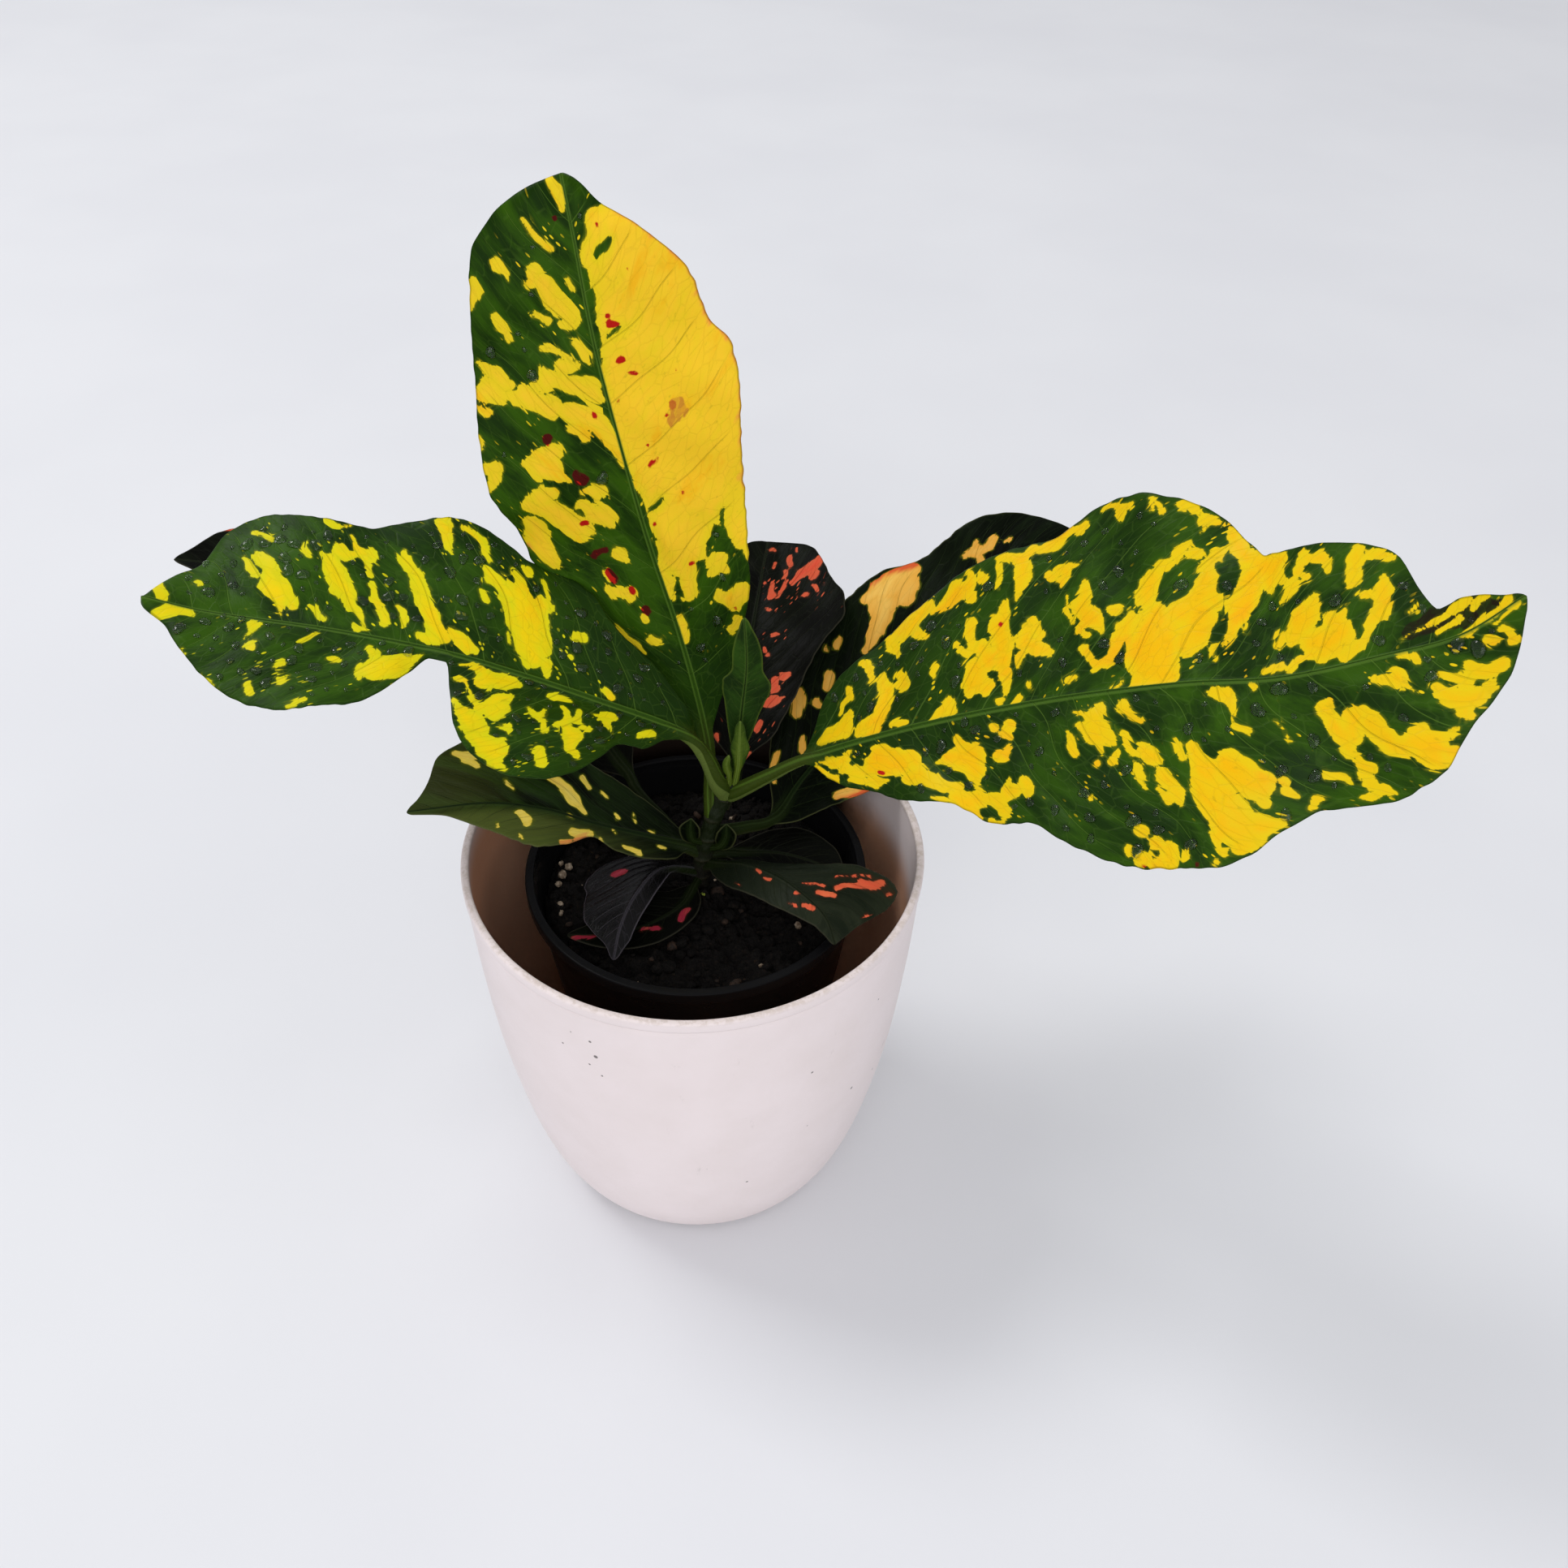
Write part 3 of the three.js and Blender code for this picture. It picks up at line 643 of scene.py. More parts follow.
    def golden(self, skin: LeafSurface) -> Signal:
        """The colour of the blotches."""
        blend = skin.shader.blend
        ripe = skin.blotch.step(*self.RIPE) + (skin.cloud - 0.5)
        gold = blend(ripe, self.blotch_rim, self.blotch)
        gold = blend(skin.mottle.step(*self.PALE_MOTTLE) * self.mottled, gold, self.blotch_rim)
        gold = blend(skin.mottle.step(*self.AMBER_MOTTLE) * self.mottled, gold, self.amber)
        gold = blend(skin.shader.noise(skin.grain, self.STAINS).step(*self.STAIN), gold, self.olive)
        gold = blend(skin.net * self.GOLD_NET_SHARE + skin.vein * self.GOLD_VEIN_SHARE, gold, self.olive)
        warm = skin.blush + (skin.cloud - 0.5) * self.BLUSH_STRAY
        return blend(warm.step(*self.BLUSHED), gold, self.blush)

    def scarred(self, skin: LeafSurface, yellow: Signal) -> Signal:
        """Where the skin is scarred."""
        ragged = (skin.scar + (skin.cloud - 0.5) * self.SCAR_STRAY).step(*self.SCAR_EDGE)
        return ragged * (1 - yellow * self.scar_below)

    def ribbed(self, skin: LeafSurface, colour: Signal) -> Signal:
        """The skin with its margin, its midrib and its bare stalk, with painted highlights along dark
        leaves' margins and the midrib's edges.
        """
        leaf, blend = skin.leaf, skin.shader.blend
        # The margin colour, which on the dark leaves is a painted highlight along the edge.
        colour = blend(skin.rim.step(*self.MARGIN), colour, self.margin)
        taper = skin.along * (leaf.stalk * leaf.RIB_TAPER / leaf.length)
        off_rib = skin.out - (leaf.stalk - taper) * self.rib_share
        bare = skin.along.step(*(leaf.bare + reach for reach in self.STALK_END))
        rib = off_rib.step(*self.RIB_EDGE).most(bare * skin.out.step(2 * leaf.stalk, leaf.stalk))
        colour = blend(rib, colour, blend(bare, self.rib, self.stalk))
        # Painted highlight along both edges of the midrib.
        return blend(abs(off_rib).step(*self.RIB_LINE), colour, self.vein)

    def material(self, leaf: Leaf) -> bpy.types.Material:
        """Paints a leaf's mesh from its vertex values.

        Args:
            leaf: The leaf, whose rib and side veins the paint follows.

        Returns:
            The material.
        """
        skin = LeafSurface(leaf)
        blend = skin.shader.blend
        yellow, halo = self.blotched(skin)
        colour = blend(yellow, blend(halo, self.leafy(skin), self.olive), self.golden(skin))
        spotted = (skin.spot + (skin.cloud - 0.5) * self.SPOT_STRAY).step(*self.SPOT_EDGE)
        colour = blend(spotted, colour, blend(yellow, self.maroon, self.red))
        scarred = self.scarred(skin, yellow)
        scar_cover = self.scar_share + (skin.crumbs - 0.5) * self.SCAR_CRUMBS
        colour = self.ribbed(skin, blend(scarred * scar_cover, colour, self.scar))
        below = blend(self.UNDER_SHARE, colour, self.under)
        rough = (skin.fine - 0.5) * 0.2 + (1 - skin.upper) * 0.22 + self.roughness + scarred * 0.2
        height = skin.fine * 0.05 - skin.net * 0.04 - skin.vein * 0.12 + skin.cloud * 0.1
        return skin.shader.finish({
            "Base Color": blend(skin.upper, below, colour),
            "Roughness": rough,
            "Specular IOR Level": self.shine,
            "Normal": skin.shader.bump(height),
        })


class PotSurface:
    """Vertex values and patterns of the cover pot's ware."""

    CLOUD = Noise(0.05, 4.0)
    FINE = Noise(0.7, 5.0, 0.65)

    def __init__(self, pot: CoverPot) -> None:
        """Reads the pot's mesh."""
        shader = Shader("cover_pot")
        self.pot, self.shader = pot, shader
        self.walk, self.around, self.height = shader.split(shader.value(Value.PLACE))
        self.here = shader.place()
        self.cloud = shader.noise(self.here, self.CLOUD)
        self.fine = shader.noise(self.here, self.FINE)


@dataclass(frozen=True)
class CeramicFinish:
    """White matte ware of the cover pot, dusty at the lip, with painted shade deep inside.

    A speck stands at its turn in degrees and its height, and its radius comes last.
    """

    white: Colour = seen(234, 222, 222)
    cream: Colour = seen(204, 190, 182)
    # Painted shade on the inner wall: shade just under the lip, turning to the lighter brown low further
    # down.
    shade: Colour = seen(206, 150, 118)
    low: Colour = seen(248, 194, 162)
    # Painted shadow: near-black brown laid on the inner wall behind the crown.
    peat_and_painted_shadow: Colour = seen(26, 19, 15)
    speck: Colour = seen(52, 44, 40)
    scuff: Colour = seen(176, 166, 162)
    crown_x: float = 10.0
    roughness: float = 0.44
    shine: float = 0.4
    specks: Sequence[Spot] = (
        (241, 105, 0.4), (244, 112, 0.3), (249, 111, 0.5), (250, 105, 0.7), (248, 100.5, 0.4),
        (251, 97, 0.4), (320, 67, 0.6),
    )

    CREAM_FROM, CREAM_SHARE = 0.35, 0.5
    INWARDS = (-0.5, 1.5)
    # Where the painted shade inside runs: from just under the lip downwards, sooner on the left, and lighter
    # brown lower down.
    DIM_DEPTH = (2, 18)
    DIM_TILT = 0.14
    LOW_DEPTH = (12, 40)
    # Where the painted shadow behind the crown lies on the inner wall.
    BEHIND_STRAY = 30.0
    BEHIND_SLOPE = 0.5
    BEHIND = (8.0, 34.0, 0.985)
    LIP = (2.6, 1.0)
    LIP_SHARE = 0.2
    WORN = (0.42, 0.6)
    WORN_SHARE = 0.6
    GROOVE = (0.5, 0.15, 0.45)
    DOTS = 0.11
    DOT_SIZE = (0.05, 0.03)
    DOT_DRAW = (0.72, 0.74)
    SPECK_BLUR = 0.2
    SPECK_SHARE = 0.8
    STREAKS = Noise(1.2, 6.0, 0.7)
    STREAK_FLOW = (9.0, 0.04, 0.01)
    STREAK = (0.63, 0.7, 0.35)
    STREAK_PATCH = (0.5, 0.6)
    FOOT = (3.0, 0.2)

    def dimmed(self, skin: PotSurface, ware: Signal) -> Signal:
        """The ware with painted shade down its inner wall, starting higher on the left, and painted shadow
        behind the crown.
        """
        pot, blend = skin.pot, skin.shader.blend
        inside = skin.walk.step(*(pot.lip_walk + reach for reach in self.INWARDS))
        x, y, _ = skin.shader.split(skin.here)
        # Painted shade: the inner wall goes brown below the lip, sooner on the left side.
        deep = (skin.height + x * self.DIM_TILT).step(*(pot.height - depth for depth in self.DIM_DEPTH))
        lower = skin.height.step(*(pot.height - depth for depth in self.LOW_DEPTH))
        ware = blend(inside * deep, ware, blend(lower, self.shade, self.low))
        # Painted shadow behind the crown, darker toward the back of the inner wall.
        ahead = y + (skin.cloud - 0.5) * self.BEHIND_STRAY - abs(x - self.crown_x) * self.BEHIND_SLOPE
        return blend(inside * ahead.step(*self.BEHIND), ware, self.peat_and_painted_shadow)

    def specked(self, skin: PotSurface) -> Signal:
        """Where the ware has a dark speck."""
        shader = skin.shader
        dots = shader.cells(skin.here, self.DOTS)
        mask = dots.step(*self.DOT_SIZE) * shader.draw(dots).step(*self.DOT_DRAW)
        for turn, rise, size in self.specks:
            sideways = (skin.around - math.radians(turn)) * skin.pot.rim_radius
            away = shader.length(shader.joined(sideways, skin.height - rise, 0.0))
            mask = mask.most(away.step(size, size - self.SPECK_BLUR))
        return mask

    def streaked(self, skin: PotSurface) -> Signal:
        """Where the ware is scuffed in streaks."""
        turn, rise, walk = self.STREAK_FLOW
        flow = skin.shader.joined(skin.around * turn, skin.height * rise, skin.walk * walk)
        return skin.shader.noise(flow, self.STREAKS).step(*self.STREAK) * skin.cloud.step(*self.STREAK_PATCH)

    def material(self, pot: CoverPot) -> bpy.types.Material:
        """Paints the cover pot.

        Args:
            pot: The pot, whose lip and inside get their own tints.

        Returns:
            The material.
        """
        skin = PotSurface(pot)
        blend = skin.shader.blend
        ware = blend((skin.cloud - self.CREAM_FROM) * self.CREAM_SHARE, self.white, self.cream)
        ware = self.dimmed(skin, ware)
        lip = abs(skin.walk - pot.lip_walk).step(*self.LIP)
        worn = lip * skin.fine.step(*self.WORN)
        ware = blend(worn * self.WORN_SHARE + lip * self.LIP_SHARE, ware, self.cream)
        ware = blend(abs(skin.walk - pot.groove_walk).step(*self.GROOVE), ware, self.scuff)
        specks = self.specked(skin)
        ware = blend(specks * self.SPECK_SHARE, ware, self.speck)
        ware = blend(self.streaked(skin), ware, self.scuff)
        return skin.shader.finish({
            "Base Color": blend(skin.height.step(*self.FOOT) * skin.fine, ware, self.scuff),
            "Roughness": self.roughness + (skin.fine - 0.5) * 0.25 + worn * 0.2,
            "Specular IOR Level": self.shine,
            "Normal": skin.shader.bump(skin.fine * 0.05 + skin.cloud * 0.25 - specks * 0.1),
        })


@dataclass(frozen=True)
class NurseryFinish:
    """Glossy black plastic with water marks and dust."""

    black: Colour = (0.006, 0.006, 0.0065)
    dust: Colour = seen(74, 68, 62)
    roughness: float = 0.28
    shine: float = 0.06

    FINE = Noise(0.9, 5.0, 0.7)
    CLOUD = Noise(0.09, 4.0)
    DUST_GRAIN = (0.6, 0.8, 0.35)
    DUST_PATCH = (0.45, 0.65)

    def material(self) -> bpy.types.Material:
        """Paints the nursery pot."""
        shader = Shader("nursery_pot")
        here = shader.place()
        fine, cloud = shader.noise(here, self.FINE), shader.noise(here, self.CLOUD)
        dusty = fine.step(*self.DUST_GRAIN) * cloud.step(*self.DUST_PATCH)
        return shader.finish({
            "Base Color": shader.blend(dusty, self.black, self.dust),
            "Roughness": self.roughness + (cloud - 0.4) * 0.3 + dusty * 0.5,
            "Specular IOR Level": self.shine,
            "Normal": shader.bump(fine * 0.03 + cloud * 0.2),
        })


@dataclass(frozen=True)
class SoilFinish:
    """Damp peaty mix."""

    # The soil's own colour of damp peat.
    peat_and_painted_shadow: Colour = seen(14, 11, 9)
    crumb: Colour = seen(30, 23, 18)
    fibre: Colour = seen(56, 40, 27)
    roughness: float = 0.72
    shine: float = 0.15

    FINE = Noise(1.3, 6.0, 0.7)
    FIBRES = Noise(0.35, 2.0)
    FIBRE = (0.68, 0.74, 0.5)
    CRUMBS = 1.1
    CRUMB_DRAW = (0.7, 0.95)
    CRUMB_GRAIN = (0.4, 0.6)

    def material(self) -> bpy.types.Material:
        """Paints the soil."""
        shader = Shader("soil")
        here = shader.place()
        fine = shader.noise(here, self.FINE)
        crumbs = shader.cells(here, self.CRUMBS)
        pale = shader.draw(crumbs).step(*self.CRUMB_DRAW) * fine.step(*self.CRUMB_GRAIN)
        fibre = shader.noise(here, self.FIBRES).step(*self.FIBRE)
        return shader.finish({
            "Base Color": shader.blend(fibre, shader.blend(pale, self.peat_and_painted_shadow, self.crumb), self.fibre),
            "Roughness": self.roughness + (fine - 0.5) * 0.5,
            "Specular IOR Level": self.shine,
            "Normal": shader.bump(fine * 0.6 - crumbs * 0.3),
        })


@dataclass(frozen=True)
class GrainFinish:
    """Loose grains in the soil, such as perlite and bark."""

    name: str
    pale: Colour
    dark: Colour
    roughness: float = 0.85
    shine: float = 0.3

    CLOUD = Noise(0.6, 4.0, 0.65)
    PALE = (0.35, 0.65)

    def material(self) -> bpy.types.Material:
        """Paints the grains."""
        shader = Shader(self.name)
        cloud = shader.noise(shader.place(), self.CLOUD)
        return shader.finish({
            "Base Color": shader.blend(cloud.step(*self.PALE), self.dark, self.pale),
            "Roughness": self.roughness - cloud * 0.2,
            "Specular IOR Level": self.shine,
            "Normal": shader.bump(cloud * 0.5),
        })


@dataclass(frozen=True)
class BarkFinish:
    """Young bark: grey-brown below, green toward the crown, pale at the leaf scars."""

    brown: Colour = seen(15, 13, 10)
    grey: Colour = seen(30, 28, 21)
    green: Colour = seen(24, 34, 13)
    scar: Colour = seen(42, 40, 26)
    green_share: float = 0.85
    scar_share: float = 0.6
    roughness: float = 0.62
    shine: float = 0.15

    FIBRES = Noise(1.4, 5.0, 0.65)
    FIBRE_FLOW = (6.0, 0.5)
    GREY = (0.35, 0.65)
    CLOUD = Noise(0.3, 4.0)
    GREEN_STRAY = 20.0
    GREENING = 16

    def material(self, stem: Stem) -> bpy.types.Material:
        """Paints the stem.

        Args:
            stem: The stem, whose scars the paint follows.

        Returns:
            The material.
        """
        shader = Shader("stem")
        along, around, scar = shader.split(shader.value(Value.PLACE))
        wide, long = self.FIBRE_FLOW
        fine = shader.noise(shader.joined(around * wide, along * long, 0.0), self.FIBRES)
        cloud = shader.noise(shader.place(), self.CLOUD)
        bark = shader.blend(fine.step(*self.GREY), self.brown, self.grey)
        reach = along + (cloud - 0.5) * self.GREEN_STRAY
        young = reach.step(stem.green_from, stem.green_from + self.GREENING)
        bark = shader.blend(young * self.green_share, bark, self.green)
        return shader.finish({
            "Base Color": shader.blend(scar * self.scar_share, bark, self.scar),
            "Roughness": self.roughness + (fine - 0.5) * 0.3 - young * 0.15,
            "Specular IOR Level": self.shine,
            "Normal": shader.bump(fine * 0.3 + cloud * 0.2),
        })


@dataclass(frozen=True)
class WaterFinish:
    """Clear water in drops."""

    clear: Colour = (0.95, 0.98, 0.96)
    bending: float = 1.33

    RIPPLE = Noise(0.8, 2.0)

    def material(self, name: str) -> bpy.types.Material:
        """Makes the water of one leaf's drops."""
        shader = Shader(name)
        ripple = shader.noise(shader.place(), self.RIPPLE)
        return shader.finish({
            "Base Color": self.clear,
            "Roughness": ripple * 0.06,
            "IOR": self.bending,
            "Transmission Weight": 1.0,
            "Normal": shader.bump(ripple * 0.05),
        })


@dataclass(frozen=True)
class FloorFinish:
    """Plain pale floor."""

    pale: Colour = seen(229, 230, 233)
    dull: Colour = seen(222, 223, 227)
    roughness: float = 0.7

    CLOUD = Noise(0.004)
    DULL = (0.3, 0.7, 0.6)

    def material(self) -> bpy.types.Material:
        """Paints the floor."""
        shader = Shader("floor")
        dull = shader.noise(shader.place(), self.CLOUD).step(*self.DULL)
        return shader.finish({
            "Base Color": shader.blend(dull, self.pale, self.dull),
            "Roughness": self.roughness,
        })


# Leaves


BLOTCHED = LeafFinish(
    slot=Slot.BLOTCHED_LEAF, green=seen(47, 80, 8), deep=seen(22, 45, 6),
    blotch=seen(236, 178, 7), blotch_rim=seen(224, 194, 16),
    rib=seen(44, 72, 14), stalk=seen(52, 66, 18), vein=seen(90, 122, 44), under=seen(104, 122, 58),
)
GOLDEN = replace(BLOTCHED, scar=seen(30, 19, 11), scar_share=0.8, scar_below=1.0, shaded_end=115.0)
LEMON = replace(
    BLOTCHED, blotch=seen(236, 202, 10), blotch_rim=seen(210, 204, 18), amber=seen(238, 186, 10),
    swell=-0.05, shaded_end=105.0,
)
PALE_GOLD = replace(
    BLOTCHED, blotch=seen(242, 194, 42), blotch_rim=seen(226, 200, 30),
    swell=0.1, shine=0.03, shaded_end=46.0,
)
# Dark leaves; their paler margin is a painted highlight along the edge.
DARK = LeafFinish(
    green=seen(15, 19, 10), deep=seen(7, 7, 5), blotch=seen(222, 70, 50), blotch_rim=seen(206, 92, 60),
    rib=seen(18, 25, 12), stalk=seen(20, 28, 9), vein=seen(40, 44, 30), under=seen(40, 35, 29),
    margin=seen(64, 62, 50), olive=seen(60, 32, 20), amber=seen(226, 120, 76),
    flecks=0.0, swell=-0.2, straying=0.45, shine=0.035,
)
# Its pale margin is a painted highlight along the edge.
PURPLE = replace(
    DARK, green=seen(15, 13, 15), deep=seen(6, 5, 6), blotch=seen(178, 40, 60), blotch_rim=seen(160, 44, 60),
    rib=seen(26, 23, 27), vein=seen(76, 72, 80), margin=seen(112, 106, 114),
    roughness=0.26, shine=0.16, rib_share=0.3,
)
SPECKLED = replace(DARK, flecks=0.9)
MOSSY = replace(DARK, green=seen(42, 47, 33), deep=seen(22, 28, 18))
REDDISH = replace(DARK, blotch=seen(170, 38, 58), blotch_rim=seen(150, 40, 58))
# Dark green leaves; their paler margin is a painted highlight along the edge.
DEEP = LeafFinish(
    green=seen(15, 24, 9), deep=seen(6, 10, 4), blotch=seen(244, 198, 98), blotch_rim=seen(238, 172, 66),
    rib=seen(20, 34, 12), stalk=seen(24, 34, 10), vein=seen(44, 58, 28), under=seen(52, 56, 34),
    margin=seen(80, 84, 50), blush=seen(216, 66, 44), amber=seen(240, 178, 70),
    straying=0.7, flecks=0.0, swell=-0.1, shine=0.035,
)
DASHED = replace(
    DEEP, green=seen(34, 54, 18), blotch=seen(252, 228, 118), blotch_rim=seen(240, 210, 80),
    straying=0.4, shine=0.06, lit_share=0.7, shaded_end=56.0, blush=seen(226, 120, 70),
)
FRESH = LeafFinish(
    slot=Slot.FRESH_LEAF, green=seen(44, 74, 20), deep=seen(24, 44, 13),
    blotch=seen(200, 190, 60), blotch_rim=seen(200, 190, 60),
    rib=seen(22, 42, 10), stalk=seen(34, 52, 14), vein=seen(78, 104, 40), under=seen(60, 80, 38),
    margin=seen(84, 100, 34), roughness=0.45, shaded_end=24.0,
)
PALE = LeafFinish(
    slot=Slot.FRESH_LEAF, green=seen(76, 98, 30), deep=seen(48, 68, 18),
    blotch=seen(200, 190, 60), blotch_rim=seen(190, 180, 60),
    rib=seen(90, 112, 38), stalk=seen(78, 96, 26), vein=seen(116, 138, 60), under=seen(84, 100, 48),
    roughness=0.45, shaded_end=6.0,
)


@dataclass
class Leaf:
    """One leaf with its stalk, its midrib and its waved blade.

    The route runs from inside the stem to the tip. The outline gives the distance along it and the half
    widths on the left and the right. The tilt gives, along the leaf from 0 to 1, how far each half rises
    in degrees and how far its edge arches. The ripple gives each half's waves, their height and start.
    A mark is a stroke: its place along and across and its half width, at each of its points in turn.
    A blush gives its half, where it starts and ends along it, and its depth in from the margin.
    The lean gives how far forward the side veins of each half run for each millimetre outwards.
    """

    name: str
    finish: LeafFinish
    seed: int
    stalk: float
    route: Sequence[Point]
    outline: Knots
    tilt: Knots
    ripple: Knots = ((1, 0, 0), (1, 0, 0))
    face: Point = (0, 0, 1)
    lean: tuple[float, float] = (0.9, 0.9)
    curl: float = 0.3
    pitch: float = 7.0
    pucker: float = 0.3
    ragged: float = 0.12
    step: float = 0.9
    marks: dict[Tint, Sequence[Stroke]] = field(default_factory=dict)
    blushes: Sequence[tuple[Side, float, float, float]] = ()
    drops: int = 0

    RIB_TAPER = 0.7
    FOOT = 0.42
    FOOT_LENGTH = 30.0
    RIB_TOP = 0.4
    RIB_FLOW = 3.0
    RIPPLE_FROM = 3.0
    RIPPLE_OVER = 12.0
    BLADE = 0.46
    TIP = 1.6
    TIP_ROWS = 12
    BLUNT = 0.995
    WIDER_THAN_STALK = 1.3
    WIDER_THAN_RIB = 1.02
    RAGGED_WIDTH = (4, 12)
    RIB_COLUMNS = 5
    SPARE_COLUMNS = 5
    RIM_SHARES = (0.985, 0.995, 1.0)
    RIM_ROUNDING = 0.3
    RIM_THICKNESS = 0.02
    BODY_FROM = 5
    BODY_SPREAD = (0.1, 0.9)
    PUCKER_KEEN = 0.7
    PUCKER_LEVEL = 0.6
    FLAT_RIM = (0.75, 1.0)
    FLAT_RIM_SHARE = 0.8
    EDGE_LENGTH = 5.0
    SWAY = 0.5
    SWAY_LENGTH = 24.0
    SWAY_SEED = 20
    VEIN_STRAY = 1.3
    VEIN_STRAY_LENGTH = 30.0
    VEIN_SEED = 40
    STRAY_SEED = 60
    FAR = -9.0
    KEEN = 0.25
    STRAY = 0.35
    STRAY_LENGTH = 6.0
    RIB_BAR = 4.0

    def __post_init__(self) -> None:
        """Measures the midrib and finds where the stalk widens into the blade."""
        self.curve = Route(self.route)
        self.length = self.curve.length
        self.full = self.outline[-1][0]
        widths = [row for row in self.outline if max(row[1:]) > self.WIDER_THAN_STALK * self.stalk]
        self.bare = widths[0][0] * self.length / self.full
        self.face_up = unit(np.array(self.face, dtype=float))

    def rows(self) -> Array:
        """Shares of the length where the blade has a row of points, closer at the tip."""
        body = np.arange(0, self.length - 2 * self.TIP, self.step)
        tip = np.linspace(self.length - 2 * self.TIP, self.length, self.TIP_ROWS)
        return np.concatenate([body, tip]) / self.length

    def half(self, share: Array, side: Side) -> dict[str, Array]:
        """Points of one half of the blade, from the midrib to the margin.

        Args:
            share: Rows, as shares of the length.
            side: Which half.

        Returns:
            The upper and lower points, the places and the distances that the paint needs.
        """
        sign, column = side.value, 1 if side is Side.LEFT else 2
        along = self.curve.along(share)
        right = unit(np.cross(along, self.face_up))
        up = np.cross(right, along)
        walk = share * self.length
        end = np.clip((walk - (self.length - self.TIP)) / self.TIP, 0, self.BLUNT)
        taper = np.sqrt(1 - end**2)
        foot = 1 + self.FOOT * smooth(walk, self.FOOT_LENGTH, 0)
        rib = self.stalk * (1 - self.RIB_TAPER * share) * foot * taper
        edge = Wander(self.seed + sign, self.EDGE_LENGTH, 1).at(walk) * self.ragged
        width = through(self.outline, share * self.full, column) * taper
        width = np.maximum(width + edge * smooth(width, *self.RAGGED_WIDTH), rib * self.WIDER_THAN_RIB)
        inner = np.minimum(rib, width / 2)
        near = inner[:, None] * np.sin(0.5 * math.pi * np.arange(self.RIB_COLUMNS) / self.RIB_COLUMNS)
        count = int(max(row[column] for row in self.outline) / self.step) + self.SPARE_COLUMNS
        shares = np.concatenate([np.linspace(0, self.RIM_SHARES[0], count), self.RIM_SHARES[1:]])
        reach = np.concatenate([near, inner[:, None] + (width - inner)[:, None] * shares], axis=1)
        part = reach / width[:, None]
        place = np.repeat(walk[:, None], reach.shape[1], axis=1)

        angle = np.radians(through(self.tilt, share, column))[:, None, None]
        waves, swing, start = self.ripple[column - 1]
        spread = np.clip((width - self.RIPPLE_FROM) / self.RIPPLE_OVER, 0, 1)
        wave = spread * swing * np.sin(math.tau * (waves * share + start))
        lift = part**2 * (through(self.tilt, share, column + 2) + wave)[:, None]
        veins = self.veins(place, reach, width[:, None], sign)
        body = smooth(reach, rib[:, None], rib[:, None] + self.BODY_FROM)
        body = body * smooth(spread, *self.BODY_SPREAD)[:, None]
        fold = np.abs(np.sin(math.pi * veins)) ** self.PUCKER_KEEN - self.PUCKER_LEVEL
        lift = lift + self.pucker * fold * body * (1 - smooth(part, *self.FLAT_RIM) * self.FLAT_RIM_SHARE)
        sway = Wander(self.seed + self.SWAY_SEED + sign, self.SWAY_LENGTH).at(place, reach)
        lift = lift + sway * self.SWAY * body

        normal = up[:, None] * np.cos(angle) - right[:, None] * sign * np.sin(angle)
        away = right[:, None] * sign * np.cos(angle) + up[:, None] * np.sin(angle)
        middle = self.curve.at(share)[:, None] + away * reach[..., None] + normal * lift[..., None]
        turn = smooth(reach, 0, rib[:, None])[..., None]
        thick = unit(up[:, None] * (1 - turn) + normal * turn)
        round_rib = rib[:, None] * np.sqrt(np.clip(1 - (reach / rib[:, None]) ** 2, 0, 1))
        flow = np.clip((width - rib) / (self.RIB_FLOW * rib), 0, 1)[:, None]
        rim = width[:, None] - reach
        blade = 0.5 * self.BLADE * np.sqrt(np.clip(rim / self.RIM_ROUNDING, self.RIM_THICKNESS, 1))
        above = np.hypot(blade, round_rib * (1 - (1 - self.RIB_TOP) * flow))
        below = np.hypot(blade, round_rib)
        return {
            "upper": middle + thick * above[..., None],
            "lower": middle - thick * below[..., None],
            "normal": thick,
            "place": np.stack([place, sign * reach, veins], -1),
            "rim": rim,
        }

    def veins(self, place: Array, reach: Array, width: Array, sign: int) -> Array:
        """Number of side veins passed, a whole number on each vein."""
        lean = self.lean[0] if sign < 0 else self.lean[1]
        wander = Wander(self.seed + self.VEIN_SEED + sign, self.VEIN_STRAY_LENGTH)
        strayed = wander.at(place, reach) * self.VEIN_STRAY
        return (place - lean * reach - self.curl * reach**2 / width + strayed) / self.pitch

    def paint(self, tint: Tint, place: Array) -> Array:
        """How far inside the nearest stroke of a tint each point lies, in millimetres."""
        spot = place[..., :2]
        wanders = (Wander(self.seed + self.STRAY_SEED + k, self.STRAY_LENGTH) for k in range(2))
        stray = [wander.at(*np.moveaxis(spot, -1, 0)) for wander in wanders]
        spot = spot + self.STRAY * np.stack(stray, -1)
        best = np.full(place.shape[:-1], self.FAR)
        for stroke in self.marks.get(tint, ()):
            knots = np.array(stroke, dtype=float).reshape(-1, 3)
            across_rib = np.clip(-np.sign(knots[0, 1]) * place[..., 1], 0, None) * self.RIB_BAR
            for start, end in zip(knots, knots[1:] if len(knots) > 1 else knots):
                leg = end[:2] - start[:2]
                part = np.clip((spot - start[:2]) @ leg / max(leg @ leg, 1e-6), 0, 1)
                away = np.linalg.norm(spot - start[:2] - part[..., None] * leg, axis=-1)
                wide = start[2] + (end[2] - start[2]) * part
                best = np.maximum(best, wide + self.KEEN * np.exp(-wide) - away - across_rib)
        return best

